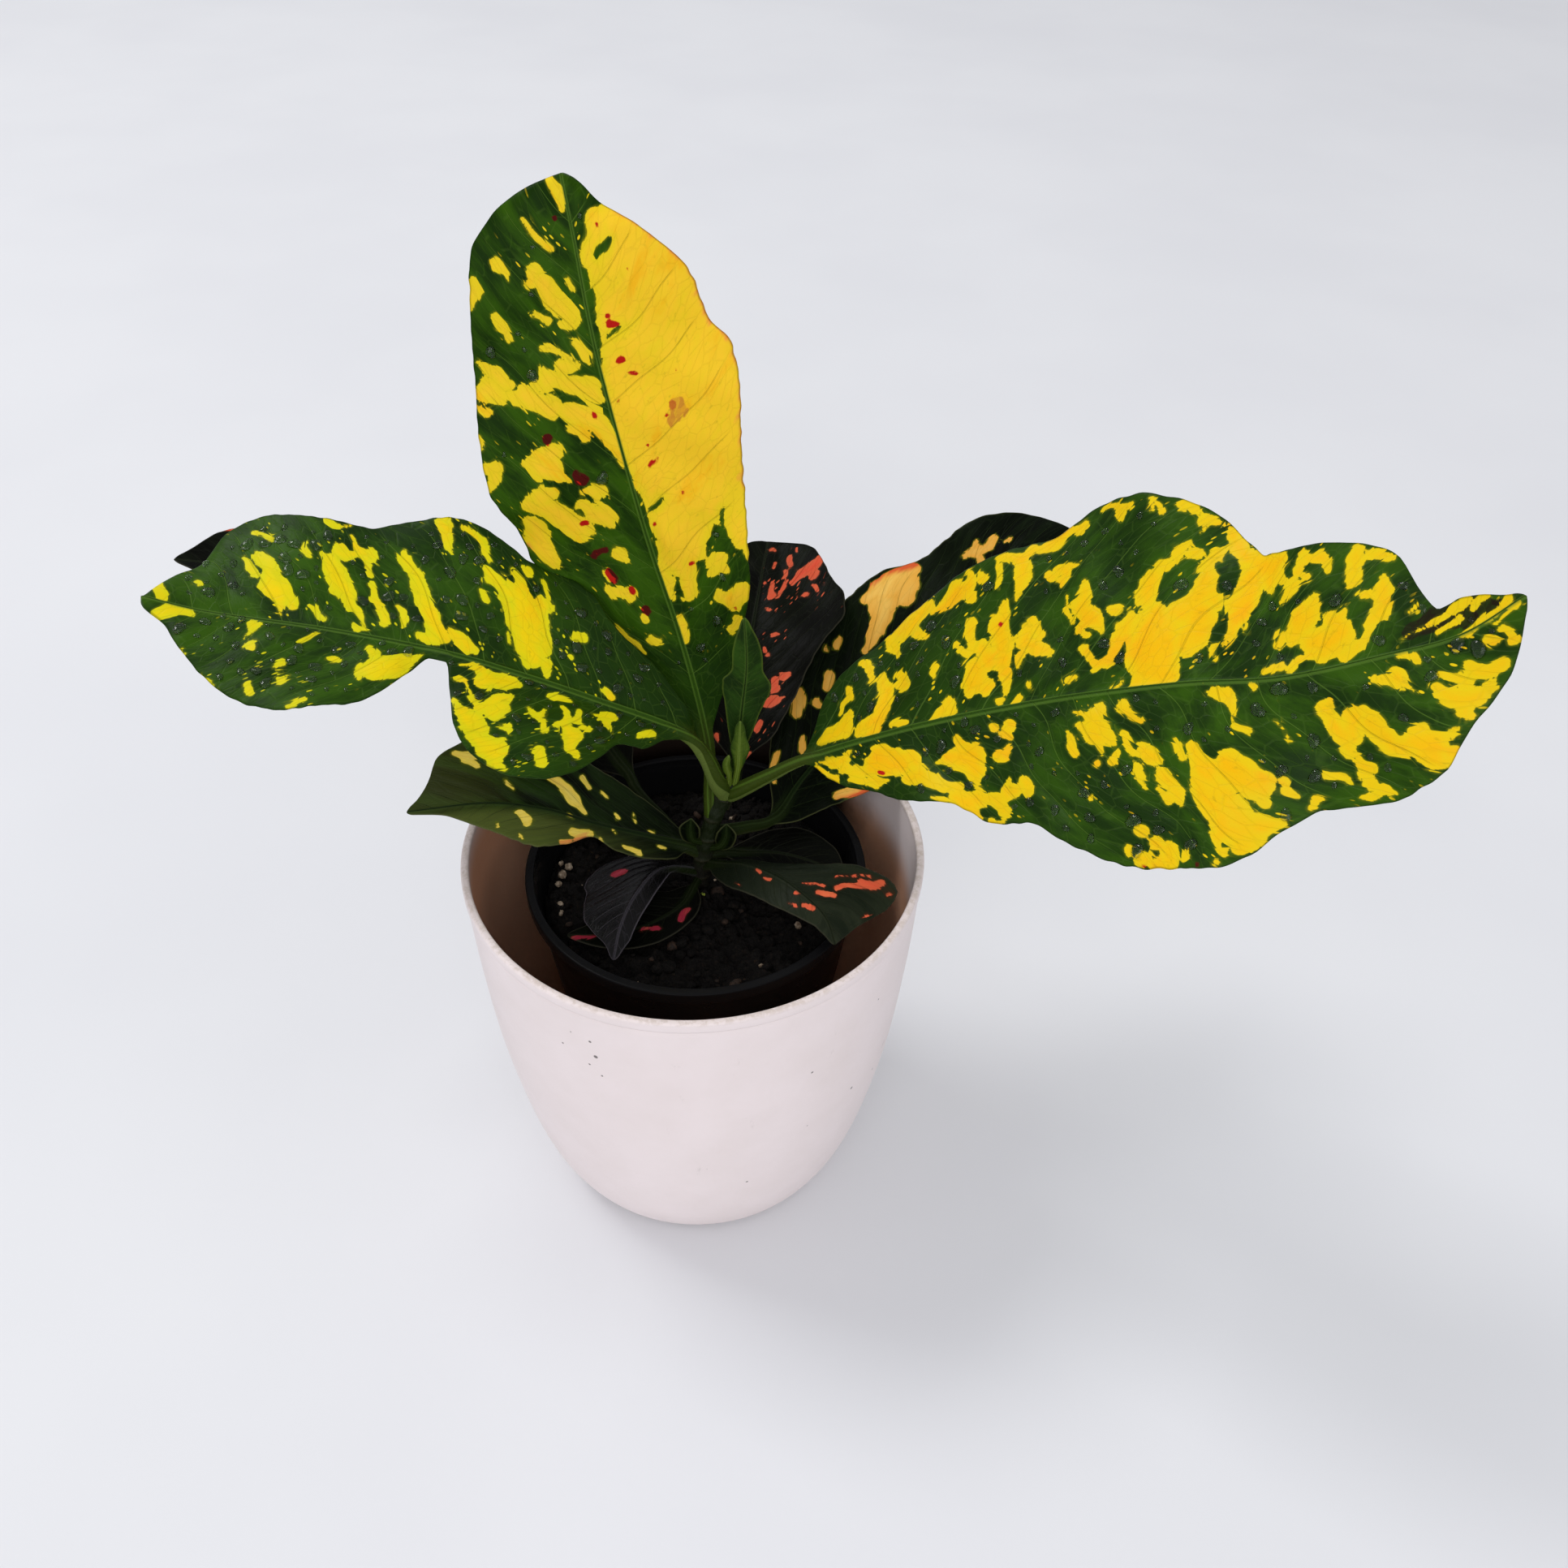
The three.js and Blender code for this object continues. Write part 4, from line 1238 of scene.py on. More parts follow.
    def blush(self, place: Array, rim: Array) -> Array:
        """How far inside a blushing stretch of margin each point lies, in millimetres."""
        best = np.full(rim.shape, self.FAR)
        for side, start, end, depth in self.blushes:
            stretch = np.minimum(place[..., 0] - start, end - place[..., 0])
            here = np.where(place[..., 1] * side.value > 0, np.minimum(depth - rim, stretch), self.FAR)
            best = np.maximum(best, here)
        return best

    def build(self) -> Form:
        """Makes the leaf as one closed form."""
        share = self.rows()
        left, right = self.half(share, Side.LEFT), self.half(share, Side.RIGHT)
        whole = {key: np.concatenate([left[key][:, :0:-1], right[key]], axis=1) for key in left}
        self.upper, self.normal, self.rim = whole["upper"], whole["normal"], whole["rim"]
        rows, columns = self.rim.shape
        count = rows * columns
        sheet = sheet_faces(rows, columns)
        faces = sheet.tolist() + (sheet[:, ::-1] + count).tolist()
        grid = np.arange(count).reshape(rows, columns)
        border = np.concatenate([grid[:-1, 0], grid[-1, :-1], grid[:0:-1, -1], grid[0, :0:-1]])
        for a, b in zip(border, np.roll(border, -1)):
            faces.append([int(a), int(b), int(b) + count, int(a) + count])
        place = whole["place"]
        self.blotch = np.minimum(self.paint(Tint.BLOTCH, place), -self.paint(Tint.ISLAND, place))
        paint = np.stack([self.blotch, self.paint(Tint.SPOT, place), self.paint(Tint.SCAR, place)], -1)
        blush = self.blush(place, self.rim)
        points = np.concatenate([self.upper.reshape(-1, 3), whole["lower"].reshape(-1, 3)])
        values = {Value.PLACE: np.concatenate([place.reshape(-1, 3)] * 2)}
        values[Value.PAINT] = np.concatenate([paint.reshape(-1, 3)] * 2)
        edges = [np.stack([self.rim, np.full_like(self.rim, face), blush], -1) for face in (1, 0)]
        values[Value.EDGE] = np.concatenate(edges).reshape(-1, 3)
        return Form(points, faces, values)

    def dress(self) -> bpy.types.Object:
        """Builds the leaf and paints it."""
        material = self.finish.material(self)
        return self.build().piece(self.name + "_blade", self.finish.slot, material, self.name)


@dataclass
class Drops:
    """Water drops that lie on a leaf."""

    leaf: Leaf
    small: float = 0.6
    large: float = 1.8
    turns: int = 14
    apart: float = 3.6

    SEED = 3
    RINGS = ((1.0, -0.12), (1.0, 0.06), (0.88, 0.2), (0.58, 0.32), (0.24, 0.37))
    WAVES = ((2, 0.16), (3, 0.08))
    OFF_RIM = 3
    OFF_BLOTCH = -1
    OFF_STALK = 8
    OFF_RIB = 9
    OFF_TIP = 20

    def drop(self, draw: np.random.Generator, centre: Array, up: Array, ahead: Array) -> Form:
        """One flat uneven drop.

        Args:
            draw: Source of the draws.
            centre: Its place on the leaf.
            up: The leaf's normal there.
            ahead: A direction along the leaf.

        Returns:
            The closed form.
        """
        size = self.small + (self.large - self.small) * draw.random() ** 2
        angles = full_turn(self.turns)
        shape = np.ones(self.turns)
        for lobes, depth in self.WAVES:
            shape = shape + depth * np.sin(lobes * angles + draw.uniform(0, 6))
        side = unit(np.cross(up, ahead))
        ahead = np.cross(side, up)
        flat = ahead * np.cos(angles)[:, None] + side * np.sin(angles)[:, None]
        rings = [
            centre + flat * (size * reach * shape)[:, None] + up * size * rise for reach, rise in self.RINGS
        ]
        return Form(np.concatenate(rings), tube_faces(len(rings), self.turns))

    def dress(self) -> bpy.types.Object:
        """Scatters the drops and fills them with water."""
        leaf = self.leaf
        draw = np.random.default_rng(leaf.seed + self.SEED)
        rows, columns = leaf.rim.shape
        forms: list[Form] = []
        laid: list[Array] = []
        green = (leaf.rim > self.OFF_RIM) & (leaf.blotch < self.OFF_BLOTCH)
        for i, j in draw.permutation(np.argwhere(green)):
            spot = leaf.upper[i, j]
            low = i * leaf.step < leaf.bare + self.OFF_STALK or i > rows - self.OFF_TIP
            if low or abs(j - columns // 2) < self.OFF_RIB:
                continue
            if laid and np.linalg.norm(np.array(laid) - spot, axis=1).min() < self.apart:
                continue
            laid.append(spot)
            forms.append(self.drop(draw, spot, leaf.normal[i, j], unit(leaf.upper[i + 1, j] - spot)))
            if len(laid) == leaf.drops:
                break
        name = leaf.name + "_drops"
        return Form.joined(forms).piece(name, leaf.finish.slot, WaterFinish().material(name))


@dataclass
class Stem:
    """Short leaning stem with a raised ring where each fallen leaf sat.

    The scars follow each other at an angle round the stem, in radians. The bark and its ridges have a
    seed, a length and a height.
    """

    route: Sequence[Point] = (
        (0.5, 7.5, 91), (0.8, 8, 101), (2, 8.5, 112), (4.5, 10, 124), (8, 11.9, 133), (10.2, 13, 138.5),
    )
    base: float = 2.9
    crown: float = 2.3
    scar: float = 0.35
    scar_pitch: float = 7
    round_top: float = 2
    green_from: float = 14
    step: float = 0.3
    sides: int = 48

    SCAR_TURN = 2.4
    SCAR_KEEN = 8
    SCAR_BEND = 0.25
    ROUNDNESS = 3
    BARK = (5, 3.0, 0.12)
    RIDGES = (6, 1.2, 0.06)
    RIDGE_FLOW = 0.25
    BLUNT = 0.99

    def rough(self, texture: tuple[int, float, float], walk: Array, angles: Array) -> Array:
        """Height of the bark or its ridges, at these lengths along and angles round."""
        seed, length, height = texture
        x, y = self.ROUNDNESS * np.cos(angles)[None], self.ROUNDNESS * np.sin(angles)[None]
        return Wander(seed, length, 3).at(walk, x, y) * height

    def dress(self) -> bpy.types.Object:
        """Builds the stem and covers it with bark."""
        curve = Route(self.route)
        share = np.arange(0, curve.length, self.step) / curve.length
        along = curve.along(share)
        across = unit(np.array([1.0, 0, 0]) - along * along[:, :1])
        third = np.cross(along, across)
        angles = full_turn(self.sides)
        walk = (share * curve.length)[:, None]
        phase = math.tau * walk / self.scar_pitch + self.SCAR_BEND * np.sin(angles * 2)
        ring = np.clip(np.cos(phase), 0, 1) ** self.SCAR_KEEN
        turn = walk / self.scar_pitch * self.SCAR_TURN
        facing = 0.5 + 0.5 * np.cos(angles[None] - turn.round() * self.SCAR_TURN)
        scar = ring * facing
        bark = self.rough(self.BARK, walk, angles)
        ridges = self.rough(self.RIDGES, walk * self.RIDGE_FLOW, angles)
        radius = self.base + (self.crown - self.base) * share[:, None] + self.scar * scar + bark + ridges
        top = np.clip((walk - (curve.length - self.round_top)) / self.round_top, 0, self.BLUNT)
        radius = radius * np.sqrt(1 - top**2)
        rays = across[:, None] * np.cos(angles)[:, None] + third[:, None] * np.sin(angles)[:, None]
        points = curve.at(share)[:, None] + rays * radius[..., None]
        place = np.stack(np.broadcast_arrays(walk, angles[None], scar), -1).reshape(-1, 3)
        form = Form(points.reshape(-1, 3), tube_faces(len(share), self.sides), {Value.PLACE: place})
        return form.piece("young_stem", Slot.STEM, BarkFinish().material(self), "stem")


# Pots and soil


def bent(points: Sequence[tuple[float, float]], count: int) -> Array:
    """A smooth line of this many steps through points of radius and height."""
    return Route(points).at(np.linspace(0, 1, count + 1))


def arc(centre: tuple[float, float], radius: float, start: float, end: float, count: int = 6) -> Array:
    """Points of radius and height on an arc, from one angle in degrees to another."""
    angles = np.radians(np.linspace(start, end, count + 1))
    return np.stack([centre[0] + radius * np.cos(angles), centre[1] + radius * np.sin(angles)], -1)


def joined_line(*parts: Sequence[Sequence[float]]) -> Array:
    """Stretches of points of radius and height as one profile."""
    return np.concatenate([np.array(part, dtype=float) for part in parts])


@dataclass
class CoverPot:
    """White cover pot with a convex wall, a rounded foot and a thin band under its lip."""

    height: float = 125
    rim_radius: float = 65
    lip_width: float = 2.2
    band: float = 3.5
    foot_radius: float = 42.8
    wall: float = 2
    floor: float = 3
    rounding: float = 0.8
    groove: float = 0.35
    inset: float = 0.45
    turns: int = 224
    wall_line: Sequence[tuple[float, float]] = (
        (45.6, 1.6), (49, 7.5), (53.2, 19), (57.3, 38), (61.2, 65), (63.4, 94),
    )
    lip_walk: float = 0.0
    groove_walk: float = 0.0

    SHRUNK = 0.12
    SWAY = 0.08
    SWAY_LENGTH = 30.0
    SWAY_ROUNDNESS = 20
    SWAY_RISE = 0.5

    def profile(self) -> Array:
        """Radius and height from the middle of the underside to the middle of the floor inside."""
        rim, inner_rim = self.rim_radius, self.rim_radius - self.lip_width
        neck, top, band, ease = rim - self.inset, self.height, self.height - self.band, self.rounding
        inner_wall = [(r - self.wall, z + 1) for r, z in self.wall_line[1:]]
        return joined_line(
            [[0, 0], [30, 0], [self.foot_radius - ease, 0], [self.foot_radius, 0.1]],
            bent([*self.wall_line, (neck, band)], 54),
            [[neck - self.groove * 0.4, band + 0.15], [rim - 0.1, band + self.inset], [rim, band + ease]],
            arc((rim - ease, top - ease), ease, 0, 90),
            arc((inner_rim + ease, top - ease), ease, 90, 180),
            bent([*inner_wall, (inner_rim, top - 2)], 40)[::-1],
            [[self.foot_radius, self.floor + 1], [self.foot_radius - 1.5, self.floor], [20, self.floor]],
            [[0, self.floor]],
        )

    def dress(self) -> bpy.types.Object:
        """Builds the pot and glazes it."""
        profile = self.profile()
        walk, heights = walked(profile), profile[:, 1]
        self.lip_walk = float(walk[heights.argmax() + 3])
        self.groove_walk = float(walk[np.flatnonzero(heights > self.height - self.band)[0]])
        form = turned(profile, self.turns)
        round_about = form.values[Value.PLACE][:, 1]
        x, y = self.SWAY_ROUNDNESS * np.cos(round_about), self.SWAY_ROUNDNESS * np.sin(round_about)
        sway = Wander(3, self.SWAY_LENGTH, 3).at(x, y, form.points[:, 2] * self.SWAY_RISE)
        outward = form.points[:, :2] / np.maximum(np.linalg.norm(form.points[:, :2], axis=1), 1)[:, None]
        form.points[:, :2] -= outward * (self.SHRUNK + self.SWAY * sway)[:, None]
        return form.piece("white_pot", Slot.COVER_POT, CeramicFinish().material(self), "cover_pot")


@dataclass
class NurseryPot:
    """Black plastic pot with a thin wall, a skirted lip and drain holes."""

    x: float = 0
    y: float = 6
    seat: float = 3.3
    height: float = 107.7
    rim_radius: float = 49
    lip_width: float = 1.8
    skirt: float = 4
    wall: float = 1.2
    base_radius: float = 34
    foot_width: float = 3
    recess: float = 2
    floor: float = 1.5
    rounding: float = 0.5
    turns: int = 192
    drains: int = 4
    drain_radius: float = 4.5
    drain_ring: float = 21

    DRAIN_TURNS = 32

    def profile(self) -> Array:
        """Radius and height from the middle of the underside to the middle of the floor inside."""
        neck = self.rim_radius - self.lip_width - self.wall
        top, ease = self.height, self.rounding
        foot, base = self.base_radius - self.foot_width, self.base_radius
        floor = self.recess + self.floor
        return joined_line(
            [[0, self.recess], [foot - 1, self.recess], [foot, 0.1], [foot + 0.4, 0], [base - 0.4, 0]],
            bent([(base, 0.4), (neck + self.wall, top - self.skirt - 0.4)], 30),
            [[neck + self.wall + 0.2, top - self.skirt], [self.rim_radius, top - self.skirt]],
            arc((self.rim_radius, top - self.skirt + ease), ease, -90, 0),
            arc((self.rim_radius - 0.1, top - 0.8), 0.6, 0, 90),
            arc((neck + 3 * ease, top - ease), ease, 90, 180),
            [[neck + 2 * ease, top - 1.6], [neck + ease, top - 2.6]],
            bent([(neck + ease - 0.1, top - 3), (base - self.wall, floor)], 24),
            [[10, floor], [0, floor]],
        )

    def drill(self, made: bpy.types.Object) -> None:
        """Cuts the drain holes through the floor."""
        for k in range(self.drains):
            angle = math.tau * (k + 0.5) / self.drains
            centre = (self.x + self.drain_ring * math.cos(angle), self.y + self.drain_ring * math.sin(angle))
            low, high = self.seat - 1, self.seat + self.recess + self.floor + 1
            reach = self.drain_radius
            line = np.array([[0, low], [reach, low], [reach, high], [0, high]], dtype=float)
            cutter = placed("drain", turned(line, self.DRAIN_TURNS, centre).mesh("drain"))
            cut = made.modifiers.new("drain", "BOOLEAN")
            cut.operation, cut.solver, cut.object = "DIFFERENCE", "EXACT", cutter
            bpy.context.view_layer.update()
            scene_now = bpy.context.evaluated_depsgraph_get()
            ready = bpy.data.meshes.new_from_object(made.evaluated_get(scene_now))
            made.modifiers.clear()
            made.data = ready
            bpy.data.objects.remove(cutter)

    def dress(self) -> bpy.types.Object:
        """Builds the pot in black plastic."""
        form = turned(self.profile() + [0, self.seat], self.turns, (self.x, self.y))
        made = form.piece("black_pot", Slot.NURSERY_POT, NurseryFinish().material(), "nursery_pot")
        self.drill(made)
        return made


@dataclass(frozen=True)
class Litter:
    """One kind of loose grain on the soil.

    Grains lie at chosen spots, with their flatness and rise against their radius, or are scattered,
    with their number and their smallest and largest radius.
    """

    finish: GrainFinish
    spots: Sequence[Spot] = ()
    flat: float = 1.0
    rise: float = 0.0
    count: int = 0
    small: float = 0.0
    large: float = 0.0


PERLITE = Litter(
    GrainFinish("perlite", pale=seen(186, 168, 146), dark=seen(104, 86, 68)),
    spots=(
        (-41.5, 14.5, 0.9), (-39.5, 15.2, 1.3), (-40.8, 11.4, 1.4), (-41.2, 6.9, 1.2), (-39.4, -2.5, 1.1),
        (-38.6, -5.7, 1), (30.1, -8.2, 1.3), (34.5, 24, 1.3), (20, -24, 0.8), (-14, -31, 0.7), (9, 38, 1.2),
    ),
    flat=0.85, rise=0.5, count=26, small=0.25, large=0.8,
)
BARK_BITS = Litter(
    GrainFinish("bark_bits", pale=seen(62, 44, 32), dark=seen(28, 20, 15)), count=40, small=0.8, large=2.8,
)
MOSS_BITS = Litter(
    GrainFinish("moss_bits", pale=seen(150, 164, 60), dark=seen(66, 84, 28)),
    spots=((2, 2.2, 0.9), (-18, 34, 1.2), (26, 30, 1.0)), flat=0.5, rise=0.4,
)


@dataclass
class Soil:
    """Damp potting soil with crumbs, bark and perlite on its surface."""

    pot: NurseryPot
    top: float = 100
    clearance: float = 0.55
    mound: float = 1.6
    rings: int = 84
    turns: int = 288
    seed: int = 7
    crumbs: int = 620
    small_crumb: float = 0.35
    large_crumb: float = 2.4
    litter: Sequence[Litter] = (PERLITE, BARK_BITS, MOSS_BITS)

    CLODS = ((9.0, 0.7), (4.0, 0.5), (2.0, 0.35), (1.0, 0.2))
    LUMP_ROWS, LUMP_TURNS = 6, 9
    LUMP_CAP = 0.12
    LUMP_ROUGHNESS = 0.13
    SIDE_RINGS = 12
    SUNK, SUNK_WIDTH = 1.6, 3

    def edge(self, height: float) -> float:
        """Radius of the soil at a height inside the pot's tapered wall."""
        pot = self.pot
        low, high = pot.base_radius - pot.wall, pot.rim_radius - pot.lip_width - pot.wall + 0.5
        start, end = pot.seat + pot.recess + pot.floor, pot.seat + pot.height - pot.wall
        return low + (high - low) * (height - start) / (end - start) - self.clearance

    def level(self, x: Array, y: Array) -> Array:
        """Height of the soil's surface, with its slow wandering and its clods."""
        slow = 0.5 * np.sin(x * 0.31 + 1) * np.cos(y * 0.27) + 0.35 * np.sin(x * 0.7 + y * 0.5)
        slow = self.mound * (slow + 0.3 * np.cos(y * 0.83 - x * 0.4))
        clods = sum(
            size * (1 - 2 * np.abs(Wander(self.seed + k, reach).at(x, y)))
            for k, (reach, size) in enumerate(self.CLODS)
        )
        return self.top + slow + clods

    def lump(self, draw: np.random.Generator, size: float, flat: float) -> Form:
        """One uneven grain round the origin.

        Args:
            draw: Source of the draws.
            size: Its radius.
            flat: Its height against its radius.

        Returns:
            The closed form.
        """
        tilt = np.linspace(self.LUMP_CAP, math.pi - self.LUMP_CAP, self.LUMP_ROWS)[:, None]
        angles = full_turn(self.LUMP_TURNS)[None]
        x, y = np.sin(tilt) * np.cos(angles), np.sin(tilt) * np.sin(angles)
        ball = np.stack(np.broadcast_arrays(x, y, np.cos(tilt)), -1).reshape(-1, 3)
        ball = ball * (1 + draw.normal(0, self.LUMP_ROUGHNESS, (len(ball), 1)))
        stretch = np.array([1, draw.uniform(0.55, 1), flat])
        yaw = draw.uniform(0, math.tau)
        spin = np.array([[math.cos(yaw), -math.sin(yaw), 0], [math.sin(yaw), math.cos(yaw), 0], [0, 0, 1]])
        faces = [face[::-1] for face in tube_faces(self.LUMP_ROWS, self.LUMP_TURNS)]
        return Form((ball * stretch * size) @ spin.T, faces)

    def scattered(self, draw: np.random.Generator, count: int, small: float, large: float) -> list[Form]:
        """Grains of random size laid on the surface.

        Args:
            draw: Source of the draws.
            count: How many.
            small: Smallest radius.
            large: Largest radius.

        Returns:
            The grains.
        """
        forms = []
        for _ in range(count):
            size = small + (large - small) * draw.random() ** 3
            reach = (self.edge(self.top) - size) * math.sqrt(draw.random())
            turn = draw.uniform(0, math.tau)
            x, y = self.pot.x + reach * math.cos(turn), self.pot.y + reach * math.sin(turn)
            forms.append(self.laid(self.lump(draw, size, draw.uniform(0.5, 0.9)), x, y, size * 0.25))
        return forms

    def laid(self, grain: Form, x: float, y: float, rise: float) -> Form:
        """A grain set down on the surface, so far above it."""
        grain.points = grain.points + [x, y, float(self.level(np.array(x), np.array(y))) + rise]
        return grain

    def body(self) -> Form:
        """The soil that fills the pot."""
        foot = self.pot.seat + self.pot.recess + self.pot.floor + 0.3
        rim = self.edge(self.top)
        rising = [[self.edge(z), z] for z in np.linspace(foot, self.top - 2.2, self.SIDE_RINGS)]
        across = [[rim * k / self.rings, self.top] for k in range(self.rings, 0, -1)]
        profile = np.array([[0, foot], [16, foot], *rising, *across, [0, self.top]])
        form = turned(profile, self.turns, (self.pot.x, self.pot.y))
        upper = form.points[:, 2] > self.top - 0.5
        x, y = form.points[upper, 0], form.points[upper, 1]
        reach = np.hypot(x - self.pot.x, y - self.pot.y)
        form.points[upper, 2] = self.level(x, y) - self.SUNK * smooth(reach, rim - self.SUNK_WIDTH, rim)
        return form

    def dress(self) -> None:
        """Builds the soil and lays its grains."""
        draw = np.random.default_rng(self.seed)
        ground = self.body()
        ground.values = {}
        crumbs = self.scattered(draw, self.crumbs, self.small_crumb, self.large_crumb)
        Form.joined([ground, *crumbs]).piece("potting_soil", Slot.SOIL, SoilFinish().material(), "soil")
        for kind in self.litter:
            grains = []
            for x, y, size in kind.spots:
                grains.append(self.laid(self.lump(draw, size, kind.flat), x, y, size * kind.rise))
            grains += self.scattered(draw, kind.count, kind.small, kind.large)
            Form.joined(grains).piece(kind.finish.name, Slot.SOIL, kind.finish.material())


@dataclass(frozen=True)
class Lamp:
    """A square soft light that faces the plant, with its place and width in metres and its watts."""

    name: str
    place: Point
    size: float
    power: float

    AIM = (0, 0, 0.12)

    def hang(self) -> None:
        """Hangs the lamp."""
        light = bpy.data.lights.new(self.name, "AREA")
        light.shape, light.size, light.energy = "SQUARE", self.size, self.power
        lamp = placed(self.name, light)
        lamp.location = self.place
        aim = Vector(self.AIM) - Vector(self.place)
        lamp.rotation_euler = aim.to_track_quat("-Z", "Y").to_euler()


@dataclass
class Studio:
    """Pale floor, soft light and the camera at the photograph's angle."""

    focal: float = 1748
    frame: float = 1932
    sensor: float = 36
    pitch: float = 41.65
    roll: float = 1.751
    place: Point = (24.86, -287.34, 403.96)
    floor_half: float = 6000
    lamps: Sequence[Lamp] = (
        Lamp("key", (-1.6, 0.8, 3.0), size=1.2, power=40),
        Lamp("fill", (0.0, -2.8, 1.8), size=2.6, power=42),
    )
    sky: Colour = (0.96, 0.965, 1.0)
    sky_strength: float = 0.62
    clip: tuple[float, float] = (0.01, 50)

    def floor(self) -> None:
        """Lays the floor."""
        reach = self.floor_half * MM
        mesh = bpy.data.meshes.new("floor")
        corners = [(-reach, -reach, 0), (reach, -reach, 0), (reach, reach, 0), (-reach, reach, 0)]
        mesh.from_pydata(corners, [], [(0, 1, 2, 3)])
        mesh.materials.append(FloorFinish().material())
        placed("floor", mesh)

    def lights(self) -> None:
        """Hangs the lights and sets the pale surroundings."""
        for lamp in self.lamps:
            lamp.hang()
        world = bpy.data.worlds.new("surroundings")
        world.use_nodes = True
        ground = world.node_tree.nodes["Background"]
        ground.inputs["Color"].default_value = (*self.sky, 1)
        ground.inputs["Strength"].default_value = self.sky_strength
        bpy.context.scene.world = world
        bpy.context.scene.view_settings.view_transform = "Standard"

    def camera(self) -> None:
        """Sets the camera."""
        pitch, roll = math.radians(self.pitch), math.radians(self.roll)
        ahead = Vector((0, math.cos(pitch), -math.sin(pitch)))
        level = Vector((1, 0, 0))
        upright = level.cross(ahead)
        right = level * math.cos(roll) + upright * math.sin(roll)
        up = upright * math.cos(roll) - level * math.sin(roll)
        data = bpy.data.cameras.new("camera")
        data.sensor_width = self.sensor
        data.lens = self.focal / self.frame * self.sensor
        data.clip_start, data.clip_end = self.clip
        camera = placed("camera", data)
        turn = Matrix((right, up, -ahead)).transposed().to_4x4()
        camera.matrix_world = Matrix.Translation(Vector(self.place) * MM) @ turn
        bpy.context.scene.camera = camera

    def build(self) -> None:
        """Sets everything round the plant."""
        self.floor()
        self.lights()
        self.camera()


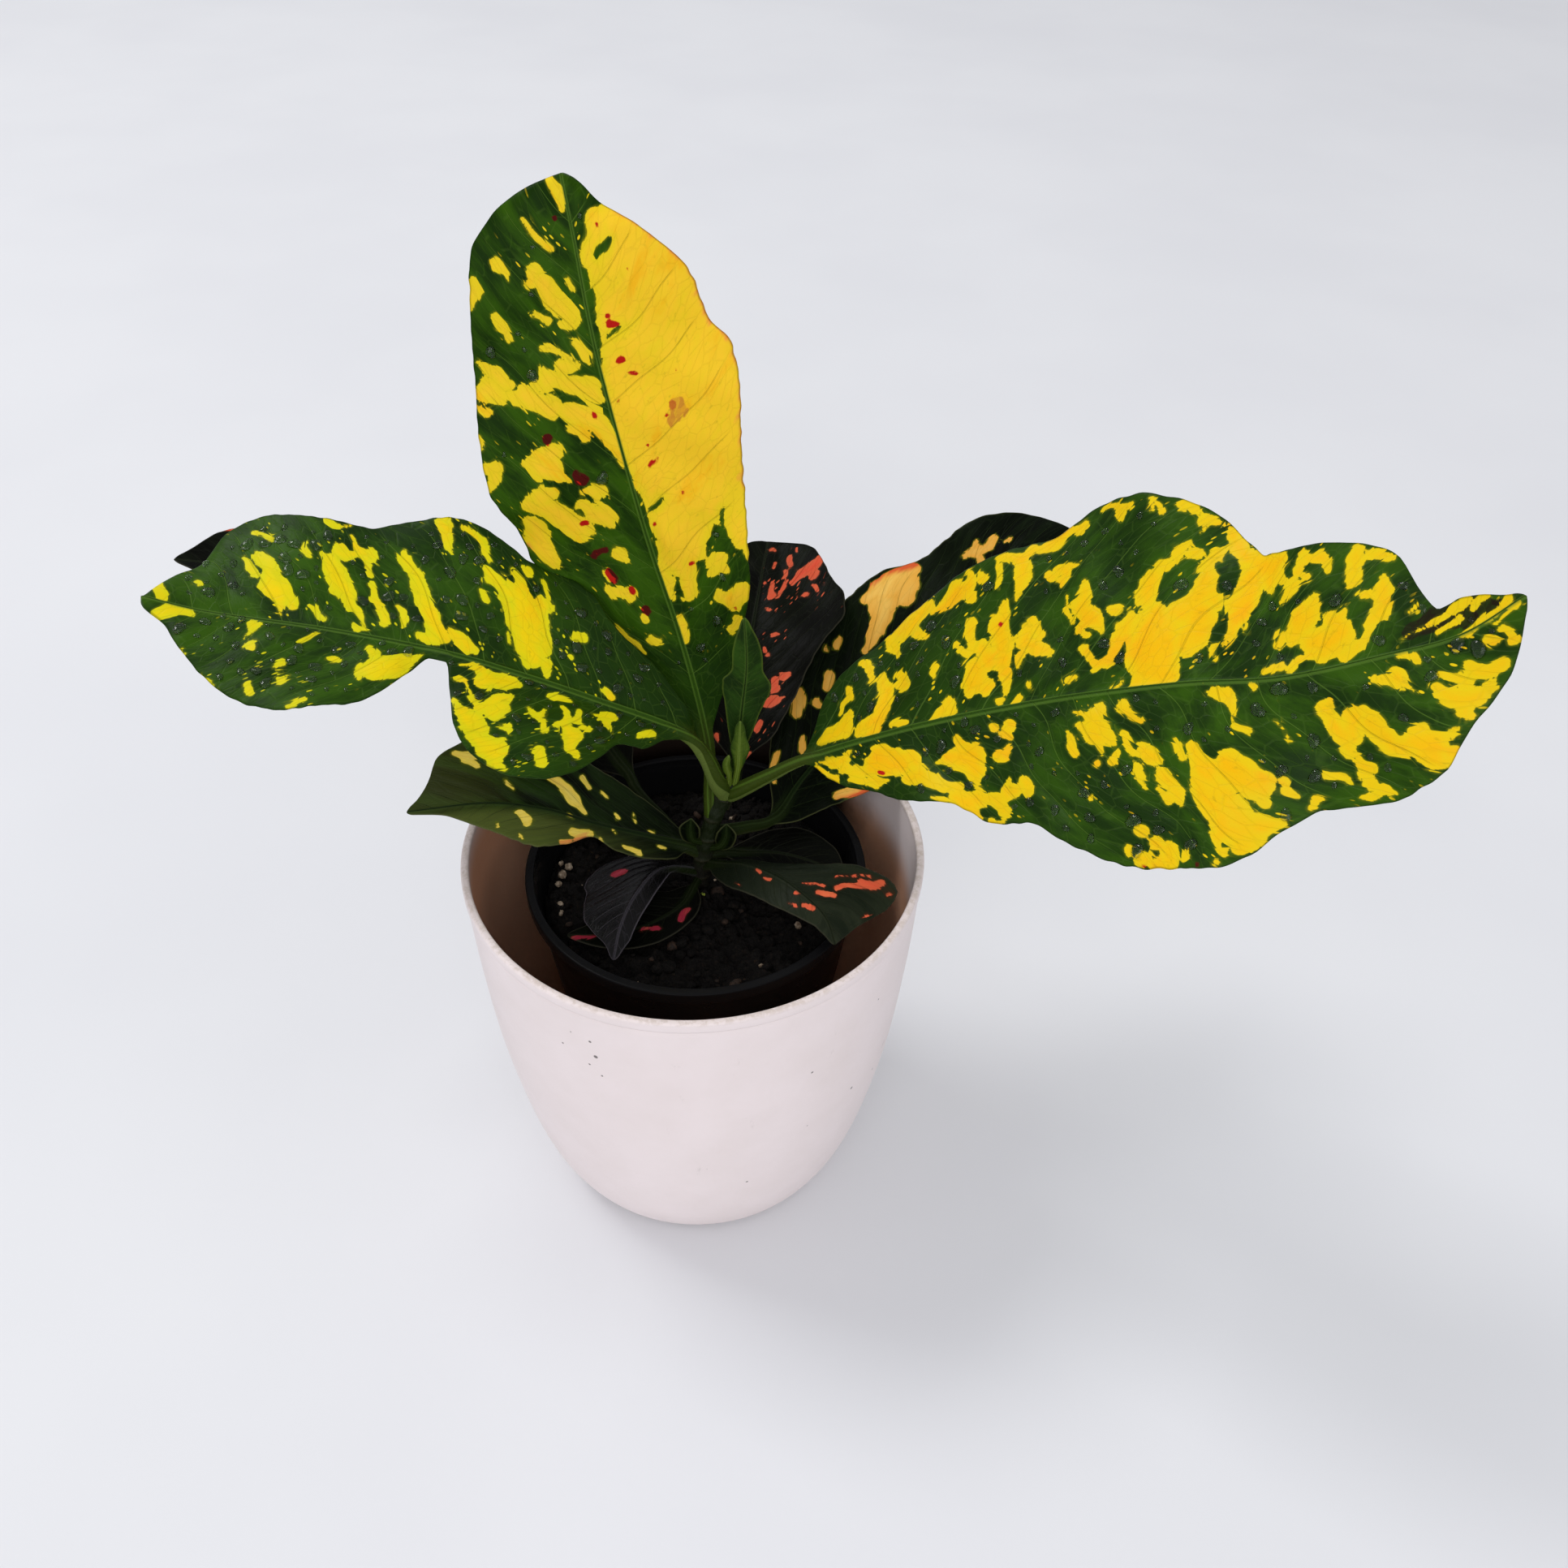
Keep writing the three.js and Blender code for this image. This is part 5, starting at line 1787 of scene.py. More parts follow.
# Large upright leaf, green on its left half and yellow on its right half
LEAF_TALL = Leaf(
    name="leaf_tall", finish=PALE_GOLD, seed=11, stalk=1.6, face=(0, -1, 0.3), lean=(1.2, 0.5), curl=0.2,
    pitch=15, step=0.75, drops=16,
    route=[
        (4.5, 10, 124), (4.3, 11.4, 128.4), (4, 13.6, 133), (3.8, 15.7, 139), (2.5, 20.2, 149.7),
        (-4.4, 29, 174.6), (-14.3, 36.2, 206.5), (-24.5, 44.6, 248), (-29.5, 52, 275.5), (-32, 56, 288.5),
    ],
    outline=[
        (0, 1.6, 1.6), (20, 1.6, 1.7), (26.1, 4, 1.8), (33.1, 6, 5), (42.1, 9.5, 11), (54.1, 16, 17.5),
        (66.1, 24, 24), (79.1, 28.5, 27), (86, 32, 28), (93.1, 32, 29), (106.1, 35.5, 31.5),
        (121.1, 33.5, 34), (129.1, 31.5, 33.5), (136.1, 30, 29), (148.1, 27.5, 26.5), (159.1, 25, 16.5),
        (166.1, 19, 7), (170.1, 12.5, 4), (173.1, 3, 1),
    ],
    tilt=[
        (0, 0, 0, 0, 0), (0.2, 3, 14, 0, 0), (0.5, 0, 12, 0, 0), (0.6, 10, 10, -1, -1), (1, 4, 4, -2, -2),
    ],
    ripple=[(3.5, 1.2, 0.1), (4, 1.2, 0.6)],
    marks={Tint.BLOTCH: [
        (175, -3, 0.3, 170.5, -1, 0.7, 168, -1, 0.2), (167, -11, 0.6, 162, -8, 1.1, 159, -6, 0.4),
        (158.5, -20, 0.6, 157, -19, 1.3, 155.5, -17.5, 0.9, 154, -17.5, 0.5),
        (154.5, -26, 0.9, 152.5, -25.5, 0.9, 151, -27, 1.3, 149, -27.5, 0.7),
        (155, -11, 1.9, 152.5, -12, 1.5), (152, -9, 2.5, 148, -8, 2.6, 146, -6, 2.7, 144, -5, 1.9),
        (145, -3.5, 1.1, 142, -4.5, 1.5, 142, -6.5, 0.8), (145.5, -13, 0.6, 143.5, -10, 1.1),
        (152, -3.5, 0.6, 150, -2.5, 0.8), (146, -22, 0.9, 144, -21.5, 1.5, 140.5, -20, 0.4),
        (137.5, -12.5, 0.6, 137.5, -10.5, 0.8, 134.5, -7, 0.6), (138, -4.5, 1, 134, -3, 1.6, 132, -2, 0.6),
        (133, -9.5, 1.2, 132.5, -7.5, 1.2, 131.5, -6, 0.4), (137, -29, 0.4, 133, -25, 1.9, 131, -22.5, 1.2),
        (130.5, -30.5, 1.7, 131, -28, 2.7, 129, -26, 1.7), (127, -31.5, 0.8, 126, -30, 0.8),
        (133, -14, 0.6, 131, -13, 1.8, 129, -10, 2, 126, -4, 2.6, 122.5, -2, 1.4),
        (130, -16.5, 1, 129, -15, 1.2), (128, -22.5, 1.6, 128, -20, 2.5, 123, -14, 2.6),
        (122, -10, 2.6, 118, -4, 2.8, 111, -1, 1.9, 105.5, -1, 0.4), (118, -10.5, 1.6, 115, -8, 1),
        (120.5, -34, 1.2, 119, -34, 1.2, 118, -35, 0.6),
        (113.5, -34.5, 1.4, 113, -31.5, 1.6, 110, -33.5, 1.4, 109, -35, 0.6),
        (113, -21, 1.8, 113, -17, 2.6, 113.5, -15.5, 1.4),
        (112, -23, 1.8, 110, -21, 2.9, 109, -18, 2.7, 106.5, -17, 1.2, 105.5, -15.5, 0.4),
        (101.5, -12, 1.3, 101, -10, 1.9, 100.5, -7.5, 1.1, 98, -10.5, 0.9), (103, -23, 2.8, 103, -20, 2.1),
        (102, -27, 1.7, 98, -21, 3.1, 92, -16, 3.3, 91, -14, 2), (92, -19, 2.4, 89.5, -17.5, 1.3),
        (95, -12, 2.4, 93, -9, 2.6, 90.5, -8.5, 1.3), (98, -15, 1.3, 96.5, -12, 1.5),
        (97.5, -28.5, 1.4, 95, -27, 3, 91, -28, 3.1), (90, -28, 3.3, 85, -26, 2.2),
        (83, -9.5, 1.5, 82, -8, 1.8), (78.5, -13.5, 0.9, 77, -13, 1.3),
        (74.5, -14.5, 0.9, 73, -13, 1.8, 72, -10, 2, 70, -9.5, 0.9), (64, -8, 0.9),
        (63.5, -16.5, 0.4, 60, -14.5, 1, 56.5, -12, 0.9, 54, -10.5, 0.2), (57, -7.5, 1.2, 56.5, -5.5, 0.7),
        (164, 7, 3.3, 156, 4, 3.1), (165, 10, 3.3, 158, 14, 7, 150, 17, 10.6),
        (151, 10, 8.1, 139, 14, 12.3, 129, 14, 12.5), (136, 9, 7.2, 120, 9, 10.3, 112, 8, 8.9),
        (128, 23, 10, 113, 24, 12.5, 96, 22, 10.7), (107, 9, 9, 96, 12, 9.8, 87, 10, 8.1, 82, 9, 6.8),
        (78, 5, 4.1, 76, 6, 3.2), (76.5, 1, 1.1, 72, 2, 1.9, 68, 1, 1.2),
        (75, 9, 2.3, 72, 7, 2.3, 68, 7, 2.1, 66.5, 5.5, 0.9), (86, 25, 3.1, 82, 25, 3.1, 79, 25, 2.2),
        (76, 26, 1.4, 74.5, 26, 0.9), (76, 19, 2.1, 75, 16, 2.1, 73, 18, 1.8, 72.5, 14, 0.9),
        (65, 15, 2.1, 64, 18, 2.8, 66, 22, 2.6, 61.5, 17.5, 1.2), (58, 17, 1.4, 57, 17, 1.6, 55.5, 15, 1.4),
        (61.5, 1.5, 1.2, 59, 2, 1.4, 54, 1, 0.5), (149, 24, 8.6, 136, 30, 9, 122, 31, 9.2, 108, 29, 9.4),
    ], Tint.ISLAND: [
        (156, 5, 0.3, 158, 6.5, 0.8, 159.5, 8.5, 0.4), (137.5, 3.5, 0.3, 139.5, 7.5, 0.6),
        (93, 3, 0.4, 94, 5.5, 0.7, 94.5, 7.5, 0.3),
        (89, 22.5, 0.4, 82.5, 19.5, 1.1, 80, 16.5, 1.6, 77.5, 15, 0.9),
    ], Tint.SPOT: [
        (163, 6.5, 0.4), (153, 11.5, 0.3), (140.5, 5, 0.9, 140, 6.5, 0.9), (142.5, 5, 0.6),
        (131.5, 5, 0.6, 132, 6, 0.8), (128, 7.5, 0.5), (127.5, 8.5, 0.5), (127, 19, 0.3), (122, 2.5, 0.3),
        (120.5, 10, 0.4), (119.5, -4.5, 0.7), (118.5, 16, 0.9), (117, 14, 0.4), (109.5, 7, 0.4),
        (106, 8.5, 0.3), (105, 7.5, 0.7, 104, 6.5, 0.6), (116.5, -17.5, 1),
        (106.5, -13, 0.8, 105, -12.5, 1.3, 104, -11, 1.1), (92.5, -15.5, 0.9, 92.5, -14, 0.8),
        (84, -15, 1.1, 84.5, -12, 0.9), (78.5, -13, 0.9, 76.5, -12, 1.1), (66, -6.5, 1.1, 65, -6, 0.9),
        (73, -8.5, 0.7, 72, -8.5, 0.7), (64, -17, 0.6), (166, -3.5, 0.6), (95.5, 13, 0.3), (88.5, 3, 0.3),
        (75.5, 9.5, 0.3, 75.5, 11, 0.3), (61.5, 18, 0.5),
    ], Tint.SCAR: [(120, 19, 0.6, 118, 17, 2.1, 114, 15, 1), (116.5, 19, 0.8, 115.5, 18, 0.6)]},
    blushes=[(Side.RIGHT, 92, 166, 1.4), (Side.LEFT, 76, 92, 2.2)],
)

# Large left leaf with yellow blotches and a folded notch
LEAF_LEFT = Leaf(
    name="leaf_left", finish=LEMON, seed=21, stalk=1.9, lean=(0.65, 0.4), curl=0.35, pitch=10.5, step=0.75,
    drops=150,
    route=[
        (8.2, 12, 133.5), (6.2, 9.9, 139.5), (2.6, 9.3, 150), (-4, 7, 160), (-24.5, 6, 170),
        (-44.5, 6, 178), (-63.5, 6, 184.5), (-91.5, 6, 190.5), (-122, 6, 195), (-137, 5, 200),
    ],
    outline=[
        (0, 1.9, 1.9), (10, 1.9, 1.9), (20, 1.7, 1.8), (26, 1.8, 6), (34, 5, 10.5), (39, 10, 14),
        (46, 11.5, 17), (51, 19, 19), (57, 26, 22.5), (63, 29.5, 28), (71, 30.5, 31), (81, 27.5, 32),
        (88, 20, 35), (91.5, 10, 36.5), (94.5, 2, 37.5), (98.5, 2, 38.3), (102.5, 8, 38.2), (108, 16, 36.5),
        (114, 21, 34.5), (122, 23.5, 31.5), (131, 26, 32), (139, 25, 32), (147, 21.5, 31.5),
        (153, 17, 28.5), (157, 13.5, 24.5), (160.5, 10, 15.5), (164, 5.5, 11.5), (168, 3, 6), (171, 1, 1),
    ],
    tilt=[(0, 0, 20, 0, 0), (0.25, -10, 33, 0, 0), (0.6, -14, 30, -1, -1), (1, -10, 24, -2, -2)],
    ripple=[(3, 1, 0.3), (4, 1.3, 0)],
    marks={Tint.BLOTCH: [
        (167, 4.5, 1.5, 165, 1, 1.5), (165.5, -3.5, 1.2, 163, -2, 1.7, 159, -1, 1.1, 157, -1.5, 0.2),
        (145.5, 18.5, 1.6, 142, 15, 2, 140, 10, 3.5, 138, 7, 2.6), (138, 11, 1.9, 134, 6, 1.3),
        (137.5, 5, 1.5, 136, 2, 0.4), (149.5, 18, 0.5, 147, 15, 1.1, 145, 12.5, 0.4),
        (149, 25.5, 0.5, 143.5, 24, 0.9), (135, 23.5, 0.7, 134, 21, 0.9, 133, 19.5, 0.4),
        (131, 31, 0.7, 128.5, 30, 0.9, 125.5, 31, 0.5),
        (130, 21, 0.7, 128, 20, 2, 125, 15, 3, 115, 2.5, 0.4),
        (127, 22.5, 1.5, 124, 22, 1.8, 122, 23.5, 1.3), (127.5, 14.5, 0.9, 125.5, 12.5, 1.5),
        (124, 27.5, 0.7, 121.5, 24, 1.6, 119, 21.5, 1.1, 117.5, 18, 0.4), (119, 24, 1.1, 117.5, 22, 0.7),
        (117, 15, 0.9, 111, 5, 1.1), (109, 10.5, 0.4, 107, 8, 0.9, 106, 5.5, 0.6),
        (129.5, 6.5, 0.4, 126, 3, 0.2), (119, 3, 0.3, 117, 2, 0.9), (111, 26, 1.1, 109.5, 23.5, 1.3),
        (109, 24, 1.8, 99, 7, 2.6, 96, 4, 1.7), (101.5, 3, 1.1, 99, 3, 1.7, 96.5, 2.5, 0.8),
        (103, 37, 2, 99, 27.5, 0.2), (98, 36.5, 0.6, 93, 33.5, 1, 90, 28, 0.8),
        (90, 25.5, 1.5, 89, 24, 1.9, 83, 21, 2.4),
        (84, 27, 0.6, 82, 25, 1.3, 81, 21, 2.9, 78, 17, 4.5, 75, 10, 4, 73, 6, 3.5),
        (83.5, 18.5, 1.7, 78, 10, 2, 75.5, 6, 1.3), (69.5, 5, 1.7, 68.5, 3, 1.3),
        (75, 22, 1.6, 73, 21.5, 0.9, 71.5, 19, 0.4),
        (76.5, 27.5, 0.5, 74, 23.5, 0.9, 74, 18, 2, 71, 11, 2, 70, 8, 1.5), (90, 19.5, 0.4, 88.5, 17, 0.8),
        (81, 10, 0.8, 80, 8, 0.9), (94.5, 6.5, 0.8, 92.5, 5, 1.7, 89.5, 3, 1.7, 87.5, 2.5, 0.9),
        (81, 29.5, 0.9, 80, 28.5, 1.1), (64, 15, 1.3, 62, 15.5, 1.5), (64, 9.5, 0.8),
        (53, 3.5, 0.8, 50.5, 2, 0.7), (143.5, -6.5, 0.4, 142, -2, 1.4, 140.5, -1, 0.2),
        (141, -9, 1.3, 140.5, -8, 1.1), (159, 8.5, 0.8, 158.5, 7.5, 0.7),
        (129.5, -4.5, 0.9, 126.5, -2, 0.7), (122.5, -8.5, 0.9, 121, -8.5, 1.6, 120, -8.5, 1.1),
        (157, -13, 1), (150, -19.5, 1, 148.5, -20.5, 1.2, 147, -21.5, 0.6), (139, -19.5, 1, 138, -22, 1.2),
        (133.5, -13.5, 0.8, 132.5, -12.5, 0.9), (132.5, -16.5, 0.5, 131.5, -17, 1.1, 129.5, -15.5, 0.4),
        (128, -24.5, 0.4, 124.5, -22.5, 0.9), (113, -11, 2, 110, -10, 3.8, 106, -8, 3.3, 100, -1.5, 0.4),
        (114, -9.5, 0.9, 113, -14, 0.7), (112.5, -4, 1.4, 111.5, -6, 1.6), (90, -2.5, 0.3, 87, -1.5, 0.7),
        (84.5, -2.5, 1.6, 83, -5, 2.8, 79, -4, 2.8, 76, -3, 1.9),
        (90.5, -6, 0.3, 87.5, -7.5, 0.5, 83.5, -13, 0.7),
        (82.5, -14, 1.6, 80, -12, 2.2, 77, -9, 1.8, 76, -7.5, 0.9), (79, -14, 2, 76.5, -11, 1.6),
        (89.5, -13.5, 0.9, 84, -18, 2.9, 81, -19, 2.6), (82, -22, 2, 78, -24, 3, 76, -25, 3, 74, -22, 1.4),
        (75, -28, 1.9, 72.5, -29, 0.9), (77, -16.5, 0.4, 75, -17, 0.9, 73.5, -18, 0.5),
        (70.5, -9.5, 0.6, 66, -13, 0.9, 65.5, -15, 1.1), (66.5, -11, 0.8, 66, -9.5, 0.9),
        (66, -3.5, 0.6, 63.5, -3, 1.2, 60.5, -3, 1),
        (62.5, -5.5, 0.7, 61, -7.5, 1.2, 60.5, -10.5, 1.6, 62.5, -12.5, 0.9),
        (57.5, -6, 0.7, 58.5, -9, 1.2), (60, -12, 1.9, 58, -14, 3, 58, -18, 1.8, 56.5, -20, 1.4),
        (56.5, -10.5, 1.4, 54.5, -10.5, 0.8), (54.5, -5, 0.5, 51.5, -4.5, 1.5, 49, -4, 1.5),
        (50.5, -6.5, 1, 49, -8, 0.5), (66.5, -22.5, 0.7, 65, -22, 1.8, 63.5, -24.5, 1.6),
        (40.5, -6.5, 0.9, 37.5, -5, 0.9),
    ]},
)

# Large right leaf with broad yellow blotches, a waved edge and a folded tip
LEAF_RIGHT = Leaf(
    name="leaf_right", finish=GOLDEN, seed=31, stalk=1.6, lean=(0.55, 0.5), curl=0.35, pitch=11, step=0.75,
    drops=110,
    route=[
        (8.8, 12.2, 133), (11.6, 10.7, 135.6), (21, 8, 144.5), (32, 4, 155), (58, -6, 174.5),
        (87, -18, 193.5), (113, -29, 208), (133.5, -36, 216), (152, -41, 226.5), (164.5, -44, 234.5),
        (173, -46, 246),
    ],
    outline=[
        (0, 1.6, 1.6), (30, 1.6, 1.6), (34, 6, 3), (39, 14, 7.5), (46, 19.5, 11.8), (54, 24, 14.5),
        (61, 28, 18), (68, 31.5, 20), (77, 35, 21.5), (89, 38.5, 28), (100, 40.2, 29.3), (108, 41, 34),
        (114, 44, 37), (121, 46.5, 40), (130, 46.3, 41.8), (139, 43.7, 42), (147, 38.5, 41.8),
        (153, 32.5, 39), (159, 28.5, 33), (165, 28.3, 30), (172, 28, 30.5), (178, 26.8, 30.8),
        (184, 24.5, 29), (189, 20.5, 26.5), (192, 12, 21.5), (195, 7, 17.5), (200, 7.3, 12.7),
        (205, 5.5, 8), (209, 2.5, 4), (212, 1, 1),
    ],
    tilt=[
        (0, 20, -20, 0, 0), (0.2, 38, -35, 0, 0), (0.5, 44, -44, 0, 0), (0.8, 44, -46, 0, 0),
        (1, 50, -50, 0, 0),
    ],
    ripple=[(5, 1.6, 0.2), (5.5, 1.6, 0.5)],
    marks={Tint.BLOTCH: [
        (37, -3, 1, 40, -4, 2, 45, -5, 2.7, 47.5, -8, 1.4),
        (44, -9, 1, 45.5, -11.5, 1.2, 48.5, -12, 1.4, 47.5, -15.5, 0.9),
        (50, -3, 1.7, 56, -5, 2.4, 59, -12, 2.1, 57.5, -15.5, 1.4), (52, -1, 1.2, 55.5, -2.5, 1.2),
        (62.5, -15.5, 1.4, 64, -13, 1.9, 62, -12.5, 1.4),
        (52.5, -21.5, 1.4, 54, -19.5, 1.4, 54.5, -16.5, 0.9, 53.5, -15.5, 0.5),
        (59.5, -26.5, 0.7, 61, -24, 1.9, 62.5, -21, 0.9),
        (63, -27, 2.1, 67, -28, 3.3, 70, -30, 2.9, 73, -32, 1.7), (69, -25, 1.9, 71.5, -24, 0.9),
        (74, -30, 1.2, 73.5, -32.5, 1), (76.5, -30, 1.2, 82, -33, 2.7, 85, -33, 2.8, 86, -36, 1.5),
        (86, -30, 1.9, 86.5, -29, 0.6), (89, -34, 1.3, 89, -35.5, 0.6),
        (94.5, -38, 1, 96.5, -38, 1.2, 99, -37, 2, 100, -33, 2.2, 99.5, -31, 1.2, 97.5, -27, 0.4),
        (101, -38, 1.2, 102, -39.5, 1, 103.5, -39, 1, 108, -40, 1.8, 110.5, -42.5, 1.7),
        (94, -36, 0.8, 93.5, -30.5, 0.2), (113, -41.5, 1.2, 115, -43, 0.8), (106, -32, 1, 107.5, -30.5, 1),
        (108, -32.5, 1, 110, -31, 1.8, 109, -28.5, 0.8), (111, -32.5, 1, 113.5, -33, 0.6, 114.5, -34, 0.3),
        (115, -27.5, 0.6, 114, -21, 2.8, 116, -19, 2.8, 119, -15, 0.8),
        (110.5, -25, 0.6, 110, -22, 0.8, 111, -18.5, 0.6), (113.5, -16.5, 1, 115.5, -14, 0.6),
        (121, -19.5, 1, 122.5, -19.5, 1.2), (114, -11.5, 1, 117, -6.5, 1.2, 119, -7.5, 1.2),
        (120, -7, 1.4, 123, -13, 1.8, 123.5, -15.5, 1.4), (110, -4, 1.2, 112, -5, 1),
        (96, -0.5, 1.3, 97.5, -2, 1), (100, -4.5, 1), (91.5, -2, 0.9, 93, -3, 0.6),
        (85, -24, 1.1, 85, -17, 1.7), (81, -18.5, 0.7, 83, -16.5, 0.7),
        (85, -12, 3, 85, -9, 3.7, 83.5, -6.5, 1.7), (88, -6, 2.6, 88, -4.5, 0.9),
        (87.5, -17, 1.7, 89, -13, 3), (94.5, -26.5, 1, 93, -21, 2.7, 93, -17, 3.2, 93, -12, 2.7),
        (94, -9, 1.9, 93.5, -4, 0.6), (91, -23.5, 0.8, 91, -20, 1.3),
        (100, -19, 2.1, 99, -16, 2.7, 102, -14, 2.5, 105.5, -12, 1), (98, -12, 1.5, 97.5, -10, 0.6),
        (101, -21, 1.2, 103, -17, 1.2), (76, -3, 1.8, 72, -1, 0.7), (77.5, -4.5, 1.3, 78, -2, 1.1),
        (60.5, -2, 0.9, 62.5, -2, 1.2, 64.5, -2, 0.7), (75, -14, 0.9, 73.5, -12.5, 0.9),
        (35.5, 2.5, 0.5, 44, 4, 2.2, 46, 3, 1.4), (44.5, 6, 1.4, 43.5, 7.5, 0.7),
        (35, 4, 0.8, 38.5, 6, 1, 41.5, 9, 1.4, 42.5, 10.5, 0.5), (47.5, 8, 1.7, 55, 7, 4.1, 63, 9, 3.3),
        (55, 4, 2.1, 61.5, 6, 1.6), (65, 8, 2.3, 67, 10, 2.1),
        (46.5, 10, 0.9, 54.5, 12, 1.5, 58.5, 12.5, 0.7),
        (64.5, 13, 1.4, 68, 13, 2.9, 74.5, 17, 1.3, 79, 18.5, 1.5),
        (73, 10.5, 0.4, 76, 10, 2, 80, 10, 3.5, 83, 11, 3.9, 84, 14, 3, 84, 17, 0.9),
        (79, 5.5, 0.7, 79.5, 7.5, 1.5), (78, 20, 2.1, 81, 22, 2.7, 84, 21, 2.6), (82, 24, 1.9, 84, 26, 0.6),
        (86, 21.5, 1.7, 90, 23, 2.2, 92, 25.5, 1.3), (93, 21, 2.2, 95, 21, 1.9),
        (98.5, 19.5, 1.7, 98.5, 22, 1.1), (94, 18, 0.9), (87.5, 27.5, 0.9, 90.5, 28, 0.9),
        (72.5, 19.5, 0.6, 75, 20.5, 0.8), (89.5, 4, 1), (94, 4.5, 1.5, 92.5, 6, 1.1, 94.5, 7.5, 0.6),
        (90.5, 12, 1, 93, 11.5, 1.1, 94, 10, 0.6), (110, 9.5, 1, 110.5, 11.5, 1.4, 111.5, 14, 0.8),
        (111, 3.5, 0.6, 113.5, 4, 0.8), (114.5, 5, 1.2, 117, 5, 2.4, 117, 9, 3.6, 117, 10, 2),
        (113.5, 7.5, 1.4, 115.5, 11, 1.2), (121, 12, 1, 119, 11, 2), (117.5, 13, 1, 118, 14.5, 0.6),
        (121.5, 14, 0.8, 120.5, 16.5, 1), (117, 16.5, 0.8), (115, 24.5, 0.9), (123, 3.5, 1, 127.5, 8, 0.4),
        (123.5, 10.5, 0.8, 125.5, 15, 0.8), (127.5, 14.5, 1.5, 130, 16, 2.1, 131.5, 17, 1.5),
        (126.5, 18.5, 1.1, 128.5, 22.5, 0.6), (132, 20, 1.9, 136, 25, 2, 136.5, 27, 1.2),
        (131.5, 24, 0.9, 134, 26.5, 1.1), (135.5, 12.5, 0.7, 137, 17, 1),
        (139.5, 14.5, 1.3, 143, 20, 3.7, 143, 24, 4.1, 146, 27, 4.3),
        (147, 19, 3.2, 150, 21, 4, 153, 23, 3.2), (154, 25, 2.2, 154.5, 26.5, 1.2),
        (148, 29, 3.8, 149, 33, 4.3, 151, 35, 3.5), (154, 32, 2.7, 156.5, 32, 1),
        (146, 35, 2.3, 147.5, 38, 1.5), (152, 36, 2.4, 150.5, 37.5, 1.4), (146, 40.5, 0.9),
        (129.5, 36, 1.1, 131, 36, 1.1), (133.5, 37.5, 1.7, 134, 40, 2.2),
        (128, 39.5, 1.7, 126.5, 40.5, 1.4), (130.5, 41, 1.7, 132, 41, 1.5), (126.5, 33, 0.8, 128, 33, 1.1),
        (138, 38, 0.6, 138, 39.5, 0.8), (123.5, 37, 0.9, 123.5, 38, 0.8),
        (139, -33, 1, 137, -32, 1, 136.5, -29.5, 1, 134, -28.5, 1.3), (140, -30.5, 1.6),
        (131.5, -26.5, 1.7, 130, -24, 2.5, 129, -21, 2.3),
        (126, -17.5, 1.7, 124.5, -15, 1.7, 124.5, -13, 1.2),
        (132, -15, 4.6, 131, -10, 6.5, 131, -6, 6.1, 133, -3, 3.4),
        (137, -17, 3.2, 140, -19, 3, 142, -22, 2.3, 143, -26, 2.5, 145, -30, 1.6),
        (138, -9, 2.5, 140, -12, 3.6, 141, -16, 3.7), (127, -2, 1.9, 125, -0.5, 0.8, 121.5, 0.5, 0.4),
        (135, -2, 1.9, 130, -1, 1.5), (123, -3, 0.4, 121.5, -0.5, 0.6),
        (147.5, -35, 1.3, 149, -32, 2.5, 152, -28, 2.4), (154, -27, 2.8, 159, -25, 3.8, 163, -26.5, 1.6),
        (158, -22, 2.9, 158, -20.5, 1.7),
        (153, -24, 3.5, 152, -19, 3.3, 150, -17, 2.8, 148, -11, 1.5, 146.5, -8, 0.7),
        (151.5, -12.5, 0.8, 151.5, -11.5, 0.6), (144, -19, 2.2, 145, -18, 1.3),
        (144.5, -7.5, 0.8, 144.5, -6, 0.7), (120, -45, 0.4, 126.5, -44, 1.4),
        (124, -43, 1.4, 124, -41.5, 0.6), (132.5, -44, 0.9, 131.5, -42, 0.6),
        (133, -43, 0.9, 134, -40.5, 0.6), (137.5, -43, 1, 138, -41.5, 0.8, 139, -42, 0.7),
        (140, -41.5, 0.8, 140.5, -40.5, 0.8), (142, -37.5, 0.9, 141.5, -35.5, 0.5),
        (142.5, -38, 1.2, 144.5, -38, 0.9),
        (168, -26.5, 0.8, 170.5, -25, 1.6, 172.5, -23.5, 1.6, 173, -22, 0.7), (167.5, -25, 0.8),
        (162, -22, 0.8), (166.5, -23, 1, 168, -21, 0.9), (166, -21, 0.9, 164, -20, 1.4, 160.5, -17, 0.4),
        (180, -24, 1.1, 179, -22, 2, 177, -17.5, 1.2), (182, -22.5, 1.1, 185.5, -21, 0.9),
        (183, -17, 0.8, 183, -14, 2, 181, -9, 2, 179, -7.5, 1.2), (179.5, -14, 1, 178.5, -13.5, 0.8),
        (179, -6, 1, 177.5, -4, 1.2, 175, -3.5, 1, 172.5, -2, 0.7),
        (169, -15.5, 1.4, 165, -12, 3, 162, -9, 2.2), (158.5, -7.5, 0.9, 160, -9, 1.3),
        (172, -10, 2.4, 173, -7, 2.9, 169, -6, 3.5, 166, -7, 2.5), (174.5, -12, 0.7, 173, -10.5, 1.6),
        (166, -4, 1.8, 168.5, -3.5, 1.7, 174, -5, 1.4), (163.5, -3.5, 1.4, 161.5, -2, 0.5),
        (155.5, -2, 0.5, 159.5, -2.5, 0.7), (143, 2, 0.5, 145.5, 2, 1.1, 147.5, 3, 1.6, 148.5, 6.5, 0.7),
        (153, 1.5, 0.9), (148.5, 8.5, 0.4, 152, 11.5, 0.8), (157.5, 9.5, 0.5, 159.5, 14, 0.6),
